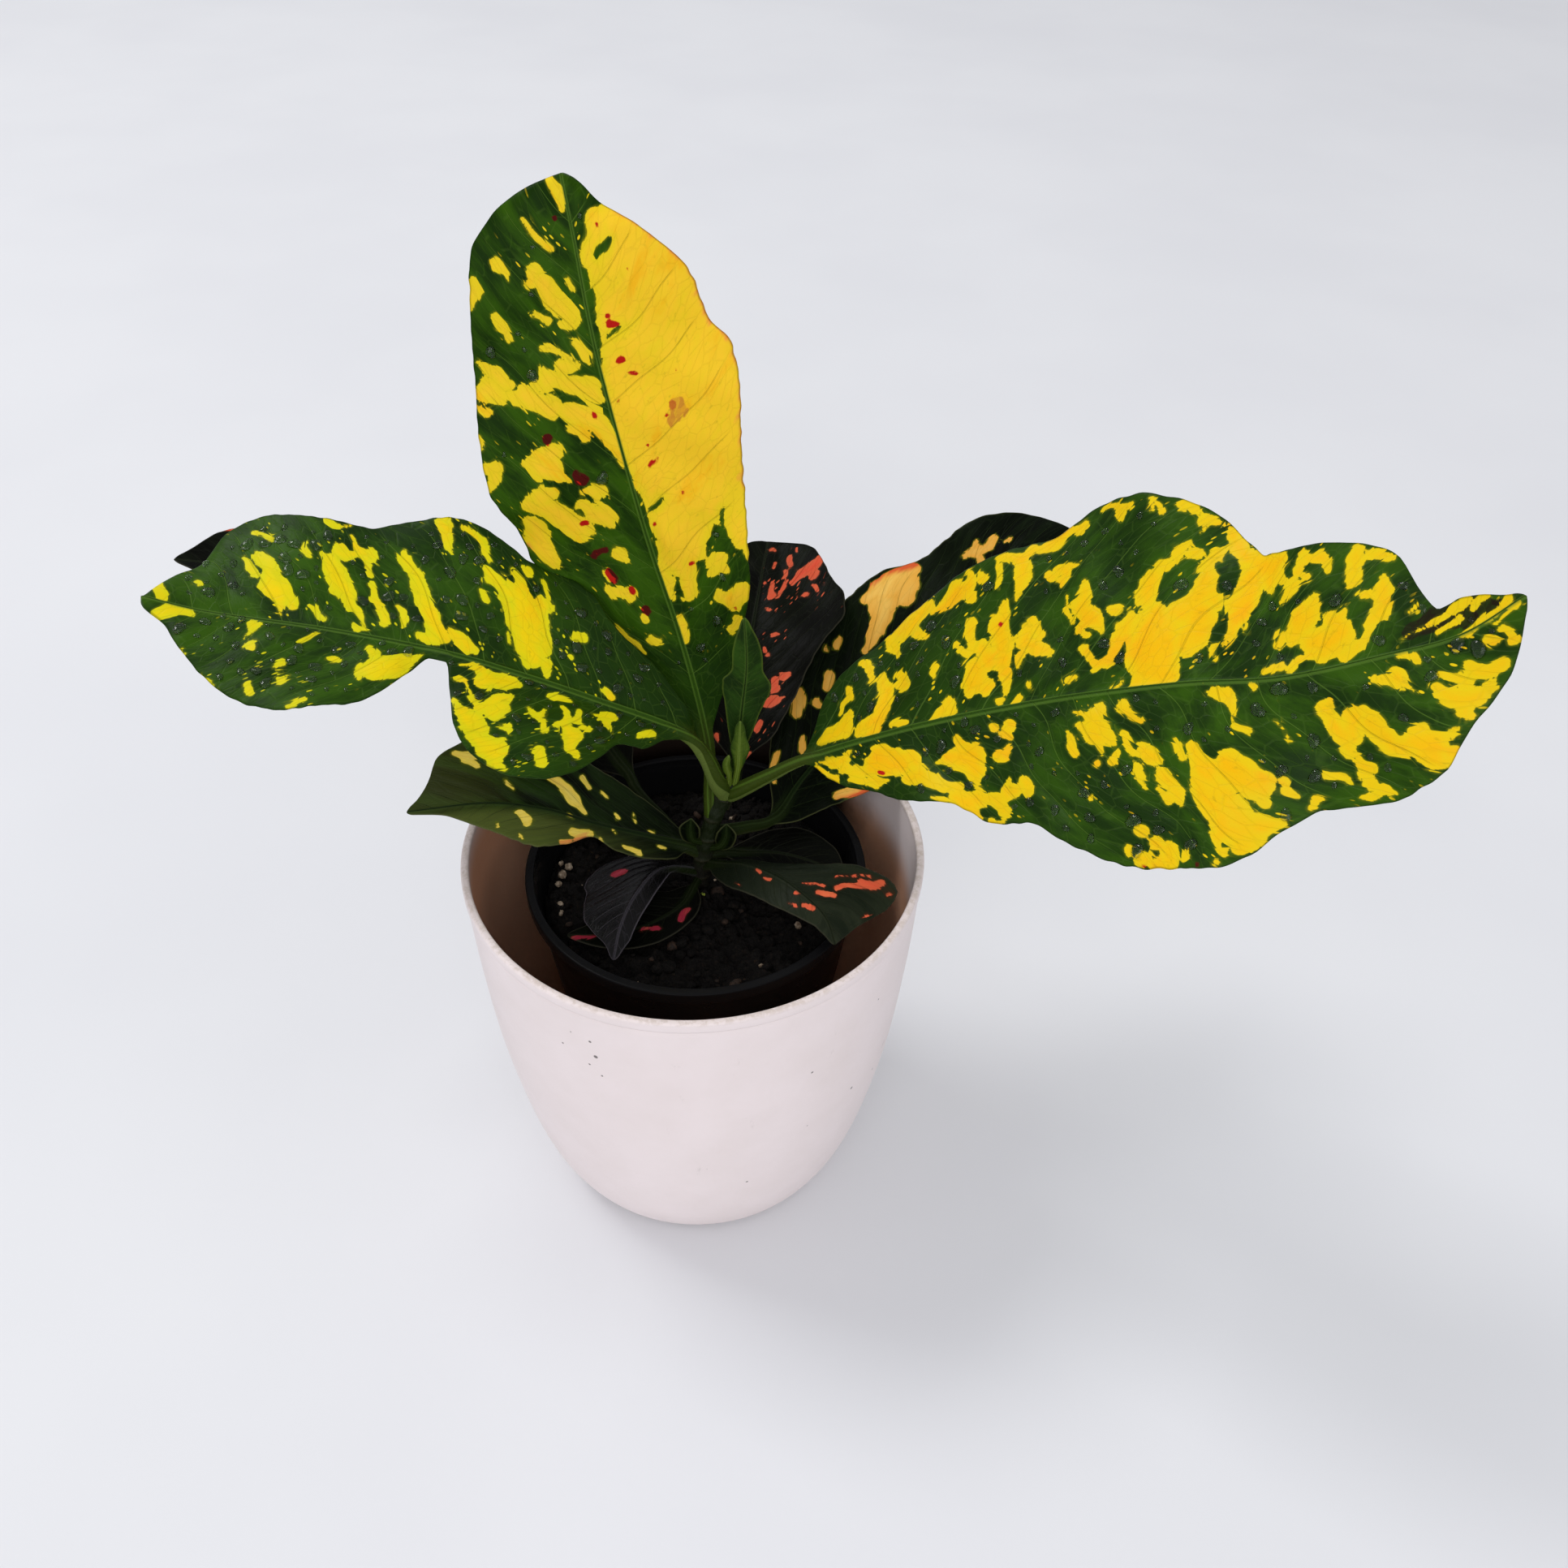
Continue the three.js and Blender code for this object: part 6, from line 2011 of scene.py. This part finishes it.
        (166.5, 8, 1.2, 169, 15, 2.1, 170, 19.5, 0.8), (172, 11, 2.2, 171, 13, 2.3, 171, 16, 1.5),
        (175, 13, 2.2, 178, 19, 2.3, 181, 20, 2.2), (183, 19, 2.8, 185, 21, 3.7, 186, 24, 2.2),
        (189, 23, 1.9, 189.5, 22.5, 0.7), (182.5, 17, 1.5, 185, 17, 1.4), (174, 10, 1, 175.5, 12.5, 1.3),
        (189.5, 18.5, 1.1), (178, 4.5, 0.5, 179.5, 5, 1.2, 182, 5, 1.8, 181.5, 6.5, 1.3),
        (183, 6.5, 1.2, 185, 9, 0.2), (183, 0.5, 0.3, 185.5, 1, 0.8, 186.5, 2.5, 0.8),
        (188, 8.5, 0.9, 192, 13, 2.3, 194, 13, 1.9), (191.5, 15, 1.5, 192.5, 16.5, 0.8),
        (189.5, 6.5, 0.3, 192.5, 8, 1, 193.5, 9.5, 1.1),
        (194.5, 6, 0.9, 195.5, 8, 1.5, 197, 9, 1.7, 199, 9, 1.4), (196.5, 11.5, 1.1, 196.5, 12.5, 0.6),
        (200, 4, 0.9), (203, 2.5, 0.8, 203.5, 6, 1.1, 202.5, 6, 0.8),
        (184, -2.5, 0.3, 194, -5.5, 0.5, 200.5, -6, 0.5), (191, -2, 0.3, 197, -3.5, 0.3),
        (195.5, 0, 0.2, 201.5, -0.5, 1, 207, -1.5, 0.8), (200.5, -4, 0.5, 204, -4.5, 0.8),
        (202.5, 1, 0.2, 207, 0.5, 0.4, 209, -0.5, 0.3), (186.5, -8.5, 0.5, 188.5, -9, 0.8),
        (157.5, 22.5, 0.5, 158, 25, 0.7, 159.5, 26.5, 0.3), (163, 27.5, 1.1, 161.5, 29, 0.6),
        (164.5, 21.5, 0.2, 168.5, 25, 0.4), (171, 20.5, 0.8, 171.5, 22.5, 1.5, 172.5, 22.5, 1.5),
        (172, 25, 0.7, 172.5, 27, 1), (170.5, 28.5, 0.8, 172.5, 29, 1.3, 174.5, 28, 1.3, 175.5, 29, 0.8),
    ], Tint.SCAR: [(187, -4, 2.2, 194, -5, 3, 201, -3, 3, 206, 0, 2.2)], Tint.ISLAND: [
        (138.5, -28, 0.9, 134.5, -23.5, 1.1, 134, -22, 0.6), (128, -19.5, 0.6, 129, -18.5, 0.4),
        (146, -26.5, 1.5, 147, -24.5, 1.5, 146.5, -22, 0.7), (48, 4, 1.4, 49.5, 5.5, 1), (85, 25, 1.1),
        (147.5, 37, 0.3), (129, 20.5, 0.6, 130, 21, 0.6),
    ], Tint.SPOT: [
        (93, -22, 0.4), (141, 41, 0.6), (55.5, 10, 0.3, 57, 10, 0.3), (127, 41.5, 0.2, 128, 41.5, 0.2),
    ]},
)

# Dark leaf behind the right one, with orange-yellow patches
LEAF_RIGHT_BACK = Leaf(
    name="leaf_right_back", finish=DEEP, seed=41, stalk=1.5, lean=(1, 1), pitch=8, pucker=0.2,
    route=[
        (3.7, 9.6, 120), (14, 13, 119.5), (22.5, 18, 119), (31, 31, 124), (50, 45.5, 141),
        (74.5, 58.5, 159.5), (100, 67, 173.5), (119, 72, 178.5),
    ],
    outline=[
        (0, 1.5, 1.5), (19, 1.5, 1.7), (25, 3.5, 7), (33, 9, 12), (41, 15, 16), (50, 18, 20),
        (60, 21.5, 24), (70, 26, 26.5), (85, 28.5, 28), (96, 29, 28), (108, 25.5, 27), (123, 26.5, 25),
        (135, 24, 21), (146, 15, 14), (152, 7, 7), (156, 1, 1),
    ],
    tilt=[(0, 10, 0, 0, 0), (0.3, 30, -6, 0, 0), (1, 25, -10, 0, 0)],
    ripple=[(4, 1.2, 0), (4, 1.2, 0.4)],
    marks={Tint.BLOTCH: [
        (85.5, -24.5, 1.6, 91, -24, 3.8, 96, -23, 4.2, 100, -24, 2.8),
        (89, -20, 3.8, 83, -15, 2.4, 76.5, -13, 1.2), (98, -21, 3.3, 94, -17, 2.4),
        (71.5, -20.5, 1.4, 73.5, -21, 0.7), (68.5, -21.5, 0.8, 69, -22.5, 0.5),
        (64, -15, 1.9, 61.5, -13, 1.4), (56.5, -12.5, 1, 56, -10.5, 0.7),
        (55, -18.5, 1.2, 53, -16, 2.1, 50, -14, 2.1), (46, -8, 0.7, 43, -5.5, 1),
        (34, -9, 1.1, 37, -10.5, 1), (31, -6.5, 0.7), (38.5, 12.5, 1.7, 43, 15, 2.1, 45.5, 19, 1.3),
        (114, -18, 1, 117.5, -17, 1.7, 120.5, -16.5, 1.4, 123.5, -18.5, 0.7),
        (118.5, -20, 0.7, 116.5, -14, 1), (125.5, -15.5, 0.7, 127, -16, 0.5),
    ]},
    blushes=[(Side.LEFT, 60, 130, 3.2), (Side.RIGHT, 30, 60, 3)],
)

# Dark leaf at the back, with coral specks
LEAF_BACK = Leaf(
    name="leaf_back", finish=SPECKLED, seed=51, stalk=1.4, face=(0, -0.4, 1), lean=(1, 1), pucker=0.15,
    route=[
        (7.4, 11.9, 128), (11, 18, 134.5), (11, 26, 141.3), (12, 40, 149), (14.5, 62, 159.5),
        (17.7, 88, 169.5),
    ],
    outline=[
        (0, 1.4, 1.4), (12.8, 1.5, 1.7), (22.8, 8, 11), (32.8, 13, 15), (44.8, 18, 18.5),
        (54.8, 21.5, 22.5), (64.8, 22, 27), (71.8, 20.5, 26), (76.8, 18, 22), (81.8, 13, 19), (86.8, 8, 16),
        (90.8, 3.5, 10),
    ],
    tilt=[(0, 10, 10, 0, 0), (1, 10, 10, 0, 0)],
    ripple=[(3, 0.8, 0), (3, 0.8, 0.5)],
    marks={Tint.BLOTCH: [
        (74, 9.5, 1.1, 77, 12, 2.2, 79, 15, 2.4, 81, 17, 1.9), (76, 16, 1.6, 77, 17, 1.1),
        (82.5, 7.5, 0.8, 80, 8.5, 1.1), (78.5, 7, 0.7, 76, 6.5, 0.5), (81.5, 3, 0.6, 79, 3.5, 0.7),
        (73.5, 1, 0.7, 72.5, 1.5, 0.5), (73, 3.5, 0.8, 68, 4.5, 1.3), (69.5, 6.5, 0.7, 67.5, 6, 0.5),
        (75, 8, 0.5, 70.5, 7, 0.5), (69.5, 14.5, 0.9), (69, 12, 0.5), (72.5, 16.5, 0.8, 71.5, 17.5, 0.8),
        (64, 3.5, 0.5, 63, 4.5, 0.5), (86, 2.5, 0.6, 85, 1.5, 0.4), (84.5, 9.5, 0.6, 86, 9.5, 0.4),
        (55, 6.5, 1, 54.5, 8, 0.8), (50.5, 4.5, 0.8, 49.5, 5, 0.8), (48, 6, 1),
        (41.5, 11.5, 1.7, 42, 12.5, 1.2), (39.5, 9, 1.5, 36.5, 9.5, 1.5), (32, 8, 1.8, 33, 10.5, 1.5),
        (33.5, 11, 0.5, 34, 13, 0.4), (73.5, 19.5, 0.4), (70.5, 22, 0.4), (26, 6, 1.2, 24, 5, 1),
        (21, -6, 0.9, 20, -6, 0.9), (16, 3.5, 0.9, 14, 2.5, 0.8), (12.5, 1, 0.6),
    ]},
)

LEAF_LEFT_BACK = Leaf(
    name="leaf_left_back", finish=DARK, seed=61, stalk=1.5,
    route=[
        (2, 9.3, 110.5), (-5, 13.3, 113.8), (-11, 17, 119), (-18, 22, 124), (-23, 28, 128.5),
        (-39, 38, 142.5), (-73, 52, 160.5), (-110.5, 58, 170.5), (-132.5, 56, 175.5), (-149, 50, 181.5),
    ],
    outline=[
        (0, 1.5, 1.5), (32, 1.5, 1.7), (40, 7, 7), (50, 12, 12), (60, 15, 16), (75, 15, 19.5), (90, 14, 21),
        (105, 14, 21.5), (120, 18, 22), (133, 19, 22.5), (145, 18, 22), (157, 14, 17.5), (169, 9, 11.8),
        (176, 4, 5), (181, 0.8, 0.8),
    ],
    tilt=[(0, -5, 10, 0, 0), (1, -5, 20, 0, 0)],
    ripple=[(4, 1, 0), (4, 1, 0.5)],
    marks={Tint.BLOTCH: [(171, 12, 0.8, 166, 13.5, 0.5), (140, 14, 1)]},
)

# Folded leaf at the front left, with yellow dashes
LEAF_FRONT_LEFT = Leaf(
    name="leaf_front_left", finish=DASHED, seed=71, stalk=1.4, lean=(1.8, 1.8), pitch=8, pucker=0.25,
    route=[
        (1.8, 8.6, 112.5), (-5, 8, 116.5), (-13, 6, 121), (-28.5, 1.5, 130), (-40.5, -1, 137),
        (-56, -3.5, 141), (-76.5, -9, 142),
    ],
    outline=[
        (0, 1.4, 1.4), (5, 1.5, 1.6), (9, 5, 5), (15, 6.6, 8.5), (22, 7.4, 11.5), (29, 7, 14.5),
        (36, 4.2, 16.5), (44, 9, 18), (53, 11.5, 19.5), (61, 10.3, 20), (69, 7.6, 19.3), (75, 4.5, 16.5),
        (79, 2.5, 14), (82, 1.8, 8), (86, 1.2, 3), (89, 0.8, 0.8),
    ],
    tilt=[(0, -20, 30, 0, 0), (1, -20, 35, 0, 0)],
    ripple=[(3, 0.5, 0), (3, 0.7, 0.5)],
    marks={Tint.BLOTCH: [
        (73, 15, 0.9, 70, 14, 1.5, 66.5, 15, 1), (70, 12.5, 1.3, 68.5, 11, 0.8),
        (52, 9, 0.7, 47.5, 8.5, 1.5, 43, 5, 1.9, 38.5, 2.5, 0.7), (41.5, 12.5, 0.9, 38, 10, 0.9),
        (29, 4.5, 0.6, 28, 3.5, 0.6), (57, -2.5, 1.2, 55, -4, 1.9), (63, -7.5, 0.4, 63.5, -6, 0.4),
        (56, -9, 0.6, 55.5, -10, 0.5), (41.5, -4.5, 1.5, 37, -4, 1.7, 40, -7, 1.2),
        (44.5, -8.5, 0.7, 42, -8, 1), (25.5, -5, 0.8, 21, -6, 0.9), (61.5, 7, 0.4, 60, 4.5, 0.4),
        (34, 10, 0.5, 32, 9, 0.5), (43.5, 0, 0.5, 42.5, -0.5, 0.4), (29.5, -0.5, 0.3, 28.5, -1.5, 0.3),
        (18, 2, 0.2, 16.5, 1.5, 0.3), (23.5, 5, 0.2, 22.5, 3.5, 0.2), (33.5, -4, 0.3, 32.5, -5, 0.3),
        (15, -2, 0.3, 13, -2.5, 0.3),
    ]},
    blushes=[(Side.LEFT, 36, 50, 2.5), (Side.RIGHT, 64, 80, 2)],
)

# Mossy leaf at the front right, with coral dashes
LEAF_FRONT_RIGHT = Leaf(
    name="leaf_front_right", finish=MOSSY, seed=81, stalk=1.4, pitch=5, pucker=0.35,
    route=[
        (1.6, 8.3, 108), (13, -0.5, 118), (22.5, -8.5, 122), (30, -16, 123), (37, -23, 121),
        (40, -29.5, 117),
    ],
    outline=[
        (0, 1.4, 1.4), (4, 1.4, 1.6), (8, 3, 4), (14, 6, 6.8), (21, 7.5, 8.5), (29, 9, 8.3), (37, 11, 7.8),
        (43, 15, 6.5), (49, 19.5, 5), (53, 21.7, 3.6), (55, 17, 3), (56.5, 8, 2.2), (58, 4.5, 1.5),
        (60, 0.8, 0.8),
    ],
    tilt=[(0, -10, -20, 0, 0), (0.35, -25, -20, 0, 0), (0.75, 10, -20, 0, 0), (1, 10, -20, 0, 0)],
    ripple=[(2, 0.5, 0), (2, 0.5, 0.5)],
    marks={Tint.BLOTCH: [
        (47, -8, 0.6, 51, -16.5, 0.9, 51.5, -19.5, 0.6), (45.5, -10.5, 0.3, 49.5, -18, 0.4),
        (53, -17.5, 0.3, 53, -20, 0.4), (39.5, -2.5, 0.4, 44.5, -6, 0.6), (41, 0.5, 0.5, 43.5, -1, 0.5),
        (45, -3, 0.6, 48.5, -6, 0.8), (41, 4.5, 0.5, 43, 3.5, 0.5), (45, 2, 0.6, 47.5, 0.5, 0.8),
        (29, 2, 0.3, 31.5, 1.5, 0.4), (25, 1, 0.3, 27, 1.5, 0.3), (20.5, 6.5, 0.3, 23.5, 7, 0.3),
        (55, -9, 0.3, 55.5, -12.5, 0.2),
    ]},
)

# Small dark leaf at the front, with one red patch
LEAF_FRONT_SMALL = Leaf(
    name="leaf_front_small", finish=PURPLE, seed=91, stalk=1.2, pitch=5,
    route=[(1.2, 8.1, 105.5), (-9.5, 1.5, 113), (-15.5, -10.5, 115), (-19, -21, 113), (-20.5, -29.5, 108)],
    outline=[
        (0, 1.2, 1.2), (7, 1.3, 1.4), (11, 1.5, 8), (15, 3, 14.5), (20, 4, 18.5), (25, 4.3, 20),
        (30, 4.5, 17.5), (35, 4.3, 15), (40, 4, 12), (43, 3.8, 8), (46, 2.5, 3.5), (50, 0.8, 0.8),
    ],
    tilt=[(0, -30, -20, 0, 0), (1, -30, -20, 0, 0)],
    ripple=[(2, 0.4, 0), (2, 0.6, 0.5)],
    marks={Tint.BLOTCH: [(20.5, 12, 1.6, 20, 10, 1.6)]},
)

LEAF_ON_SOIL = Leaf(
    name="leaf_on_soil", finish=REDDISH, seed=101, stalk=1, pitch=5, pucker=0.2,
    route=[
        (0.9, 8, 104), (-1, 1.5, 104.6), (-4.5, -6, 104.6), (-14, -13.5, 104.4), (-25, -17, 104.3),
        (-35, -18, 104.8),
    ],
    outline=[
        (0, 1, 1), (4, 1, 1.2), (9, 4, 5), (16, 6.5, 8.5), (24, 7.5, 9), (32, 6.5, 7.5), (39, 4, 4.5),
        (46, 0.8, 0.8),
    ],
    tilt=[(0, 0, 8, 0, 0), (1, 0, 10, 0, 0)],
    ripple=[(2, 0.3, 0), (2, 0.4, 0.5)],
    marks={Tint.BLOTCH: [
        (47, -1.5, 0.7, 41, 0.5, 1), (28.5, -1, 0.5, 23.5, -2.5, 0.8), (18, -4, 1, 14.5, -2.5, 1),
    ]},
)

LEAF_IN_SHADE = Leaf(
    name="leaf_in_shade", finish=DARK, seed=111, stalk=1.2, pitch=5, pucker=0.2,
    route=[(2, 8.5, 112), (14, 10.5, 111.5), (25, 11, 111), (36, 8, 110), (43.5, 3, 109)],
    outline=[
        (0, 1.2, 1.2), (6, 1.3, 1.5), (12, 4, 5), (20, 8, 7.5), (28, 10, 8), (36, 8, 6), (42, 3.5, 3),
        (45.5, 0.8, 0.8),
    ],
    tilt=[(0, 10, 0, 0, 0), (1, 15, 0, 0, 0)],
    ripple=[(2, 0.3, 0), (2, 0.4, 0.5)],
)

LEAF_NEW = Leaf(
    name="leaf_new", finish=FRESH, seed=121, stalk=1.2, face=(0, -1, 0.3), pitch=4, pucker=0.25, ragged=0.4,
    route=[
        (9.8, 13.5, 135), (11, 14.9, 141), (11.6, 15, 147), (12.8, 14.5, 162), (14, 13.3, 178),
        (13.5, 11, 195),
    ],
    outline=[
        (0, 1.2, 1.2), (10.8, 1.2, 1.3), (16.8, 2.6, 2.8), (21.8, 3.6, 3.9), (26.8, 4.4, 4.8),
        (31.8, 5.3, 5.9), (36, 6.2, 7), (39, 6.2, 6.9), (41, 4.7, 5.5), (43, 3.9, 4.5), (48, 3.8, 4.3),
        (53, 3, 3.4), (57.5, 1.6, 1.8), (60.8, 0.7, 0.7),
    ],
    tilt=[(0, 10, 10, 0, 0), (1, 10, 10, 0, 0)],
    ripple=[(2, 0.3, 0), (2, 0.3, 0.5)],
)

LEAF_NEWEST = Leaf(
    name="leaf_newest", finish=PALE, seed=131, stalk=0.75, face=(0, -1, 0.3), pitch=2.5, pucker=0.2,
    route=[(10.9, 11.9, 137), (11.6, 11.3, 142), (12, 11.1, 146), (12.2, 11.2, 151.5), (12.5, 11, 161)],
    outline=[
        (0, 0.75, 0.75), (6.3, 0.75, 0.9), (11.3, 1.6, 2), (16.3, 2.4, 3), (20.3, 1.6, 1.9),
        (23.3, 1.4, 1.5), (26.3, 0.7, 0.7),
    ],
    tilt=[(0, 12, 12, 0, 0), (1, 12, 12, 0, 0)],
)

LEAF_BUD = Leaf(
    name="leaf_bud", finish=PALE, seed=141, stalk=0.75, face=(0, -1, 0.3), pitch=2.5, pucker=0.15,
    route=[(9.4, 11.8, 136.5), (9.4, 10.4, 142), (8.8, 9.4, 146.7), (9.5, 9.1, 150.3)],
    outline=[(0, 0.75, 0.75), (6, 0.75, 0.8), (10, 1.4, 1.5), (13, 1.3, 1.2), (16.5, 0.7, 0.7)],
    tilt=[(0, 20, 20, 0, 0), (1, 30, 30, 0, 0)],
)

SHOOT_LEFT = Leaf(
    name="shoot_left", finish=DEEP, seed=151, stalk=0.9, face=(0, -1, 0.5), pitch=2.5, pucker=0.2,
    route=[(3, 9, 117), (-0.6, 6.6, 120), (-1.4, 6.2, 124), (-1.2, 6.6, 128.5)],
    outline=[(0, 0.9, 0.9), (4, 1, 1), (7, 2.9, 2.7), (10, 3.4, 3), (13, 0.7, 0.7)],
    tilt=[(0, 10, 10, 0, 0), (1, 20, 20, 0, 0)],
)

SHOOT_RIGHT = Leaf(
    name="shoot_right", finish=DEEP, seed=161, stalk=0.9, face=(0, -1, 0.5), pitch=2.5, pucker=0.2,
    route=[(3, 8.8, 115), (6.8, 6.4, 118), (8.6, 6, 122), (8.9, 6.4, 127)],
    outline=[(0, 0.9, 0.9), (4, 1, 1), (8, 2.8, 2.9), (11, 3, 3.2), (14.5, 0.7, 0.7)],
    tilt=[(0, 10, 10, 0, 0), (1, 20, 20, 0, 0)],
)

LEAVES = (
    LEAF_TALL, LEAF_LEFT, LEAF_RIGHT, LEAF_RIGHT_BACK, LEAF_BACK, LEAF_LEFT_BACK, LEAF_FRONT_LEFT,
    LEAF_FRONT_RIGHT, LEAF_FRONT_SMALL, LEAF_ON_SOIL, LEAF_IN_SHADE, LEAF_NEW, LEAF_NEWEST, LEAF_BUD,
    SHOOT_LEFT, SHOOT_RIGHT,
)


@dataclass
class Plant:
    """The stem with its leaves and the water on them."""

    stem: Stem = field(default_factory=Stem)
    leaves: Sequence[Leaf] = LEAVES

    def dress(self) -> None:
        """Builds the plant from the stem outwards."""
        self.stem.dress()
        for leaf in self.leaves:
            leaf.dress()
            if leaf.drops:
                Drops(leaf).dress()


def main() -> None:
    """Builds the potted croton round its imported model."""
    logging.basicConfig(level=logging.INFO, format="%(name)s: %(message)s")
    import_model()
    Studio().build()
    CoverPot().dress()
    nursery_pot = NurseryPot()
    nursery_pot.dress()
    Soil(nursery_pot).dress()
    Plant().dress()


if __name__ == "__main__":
    main()
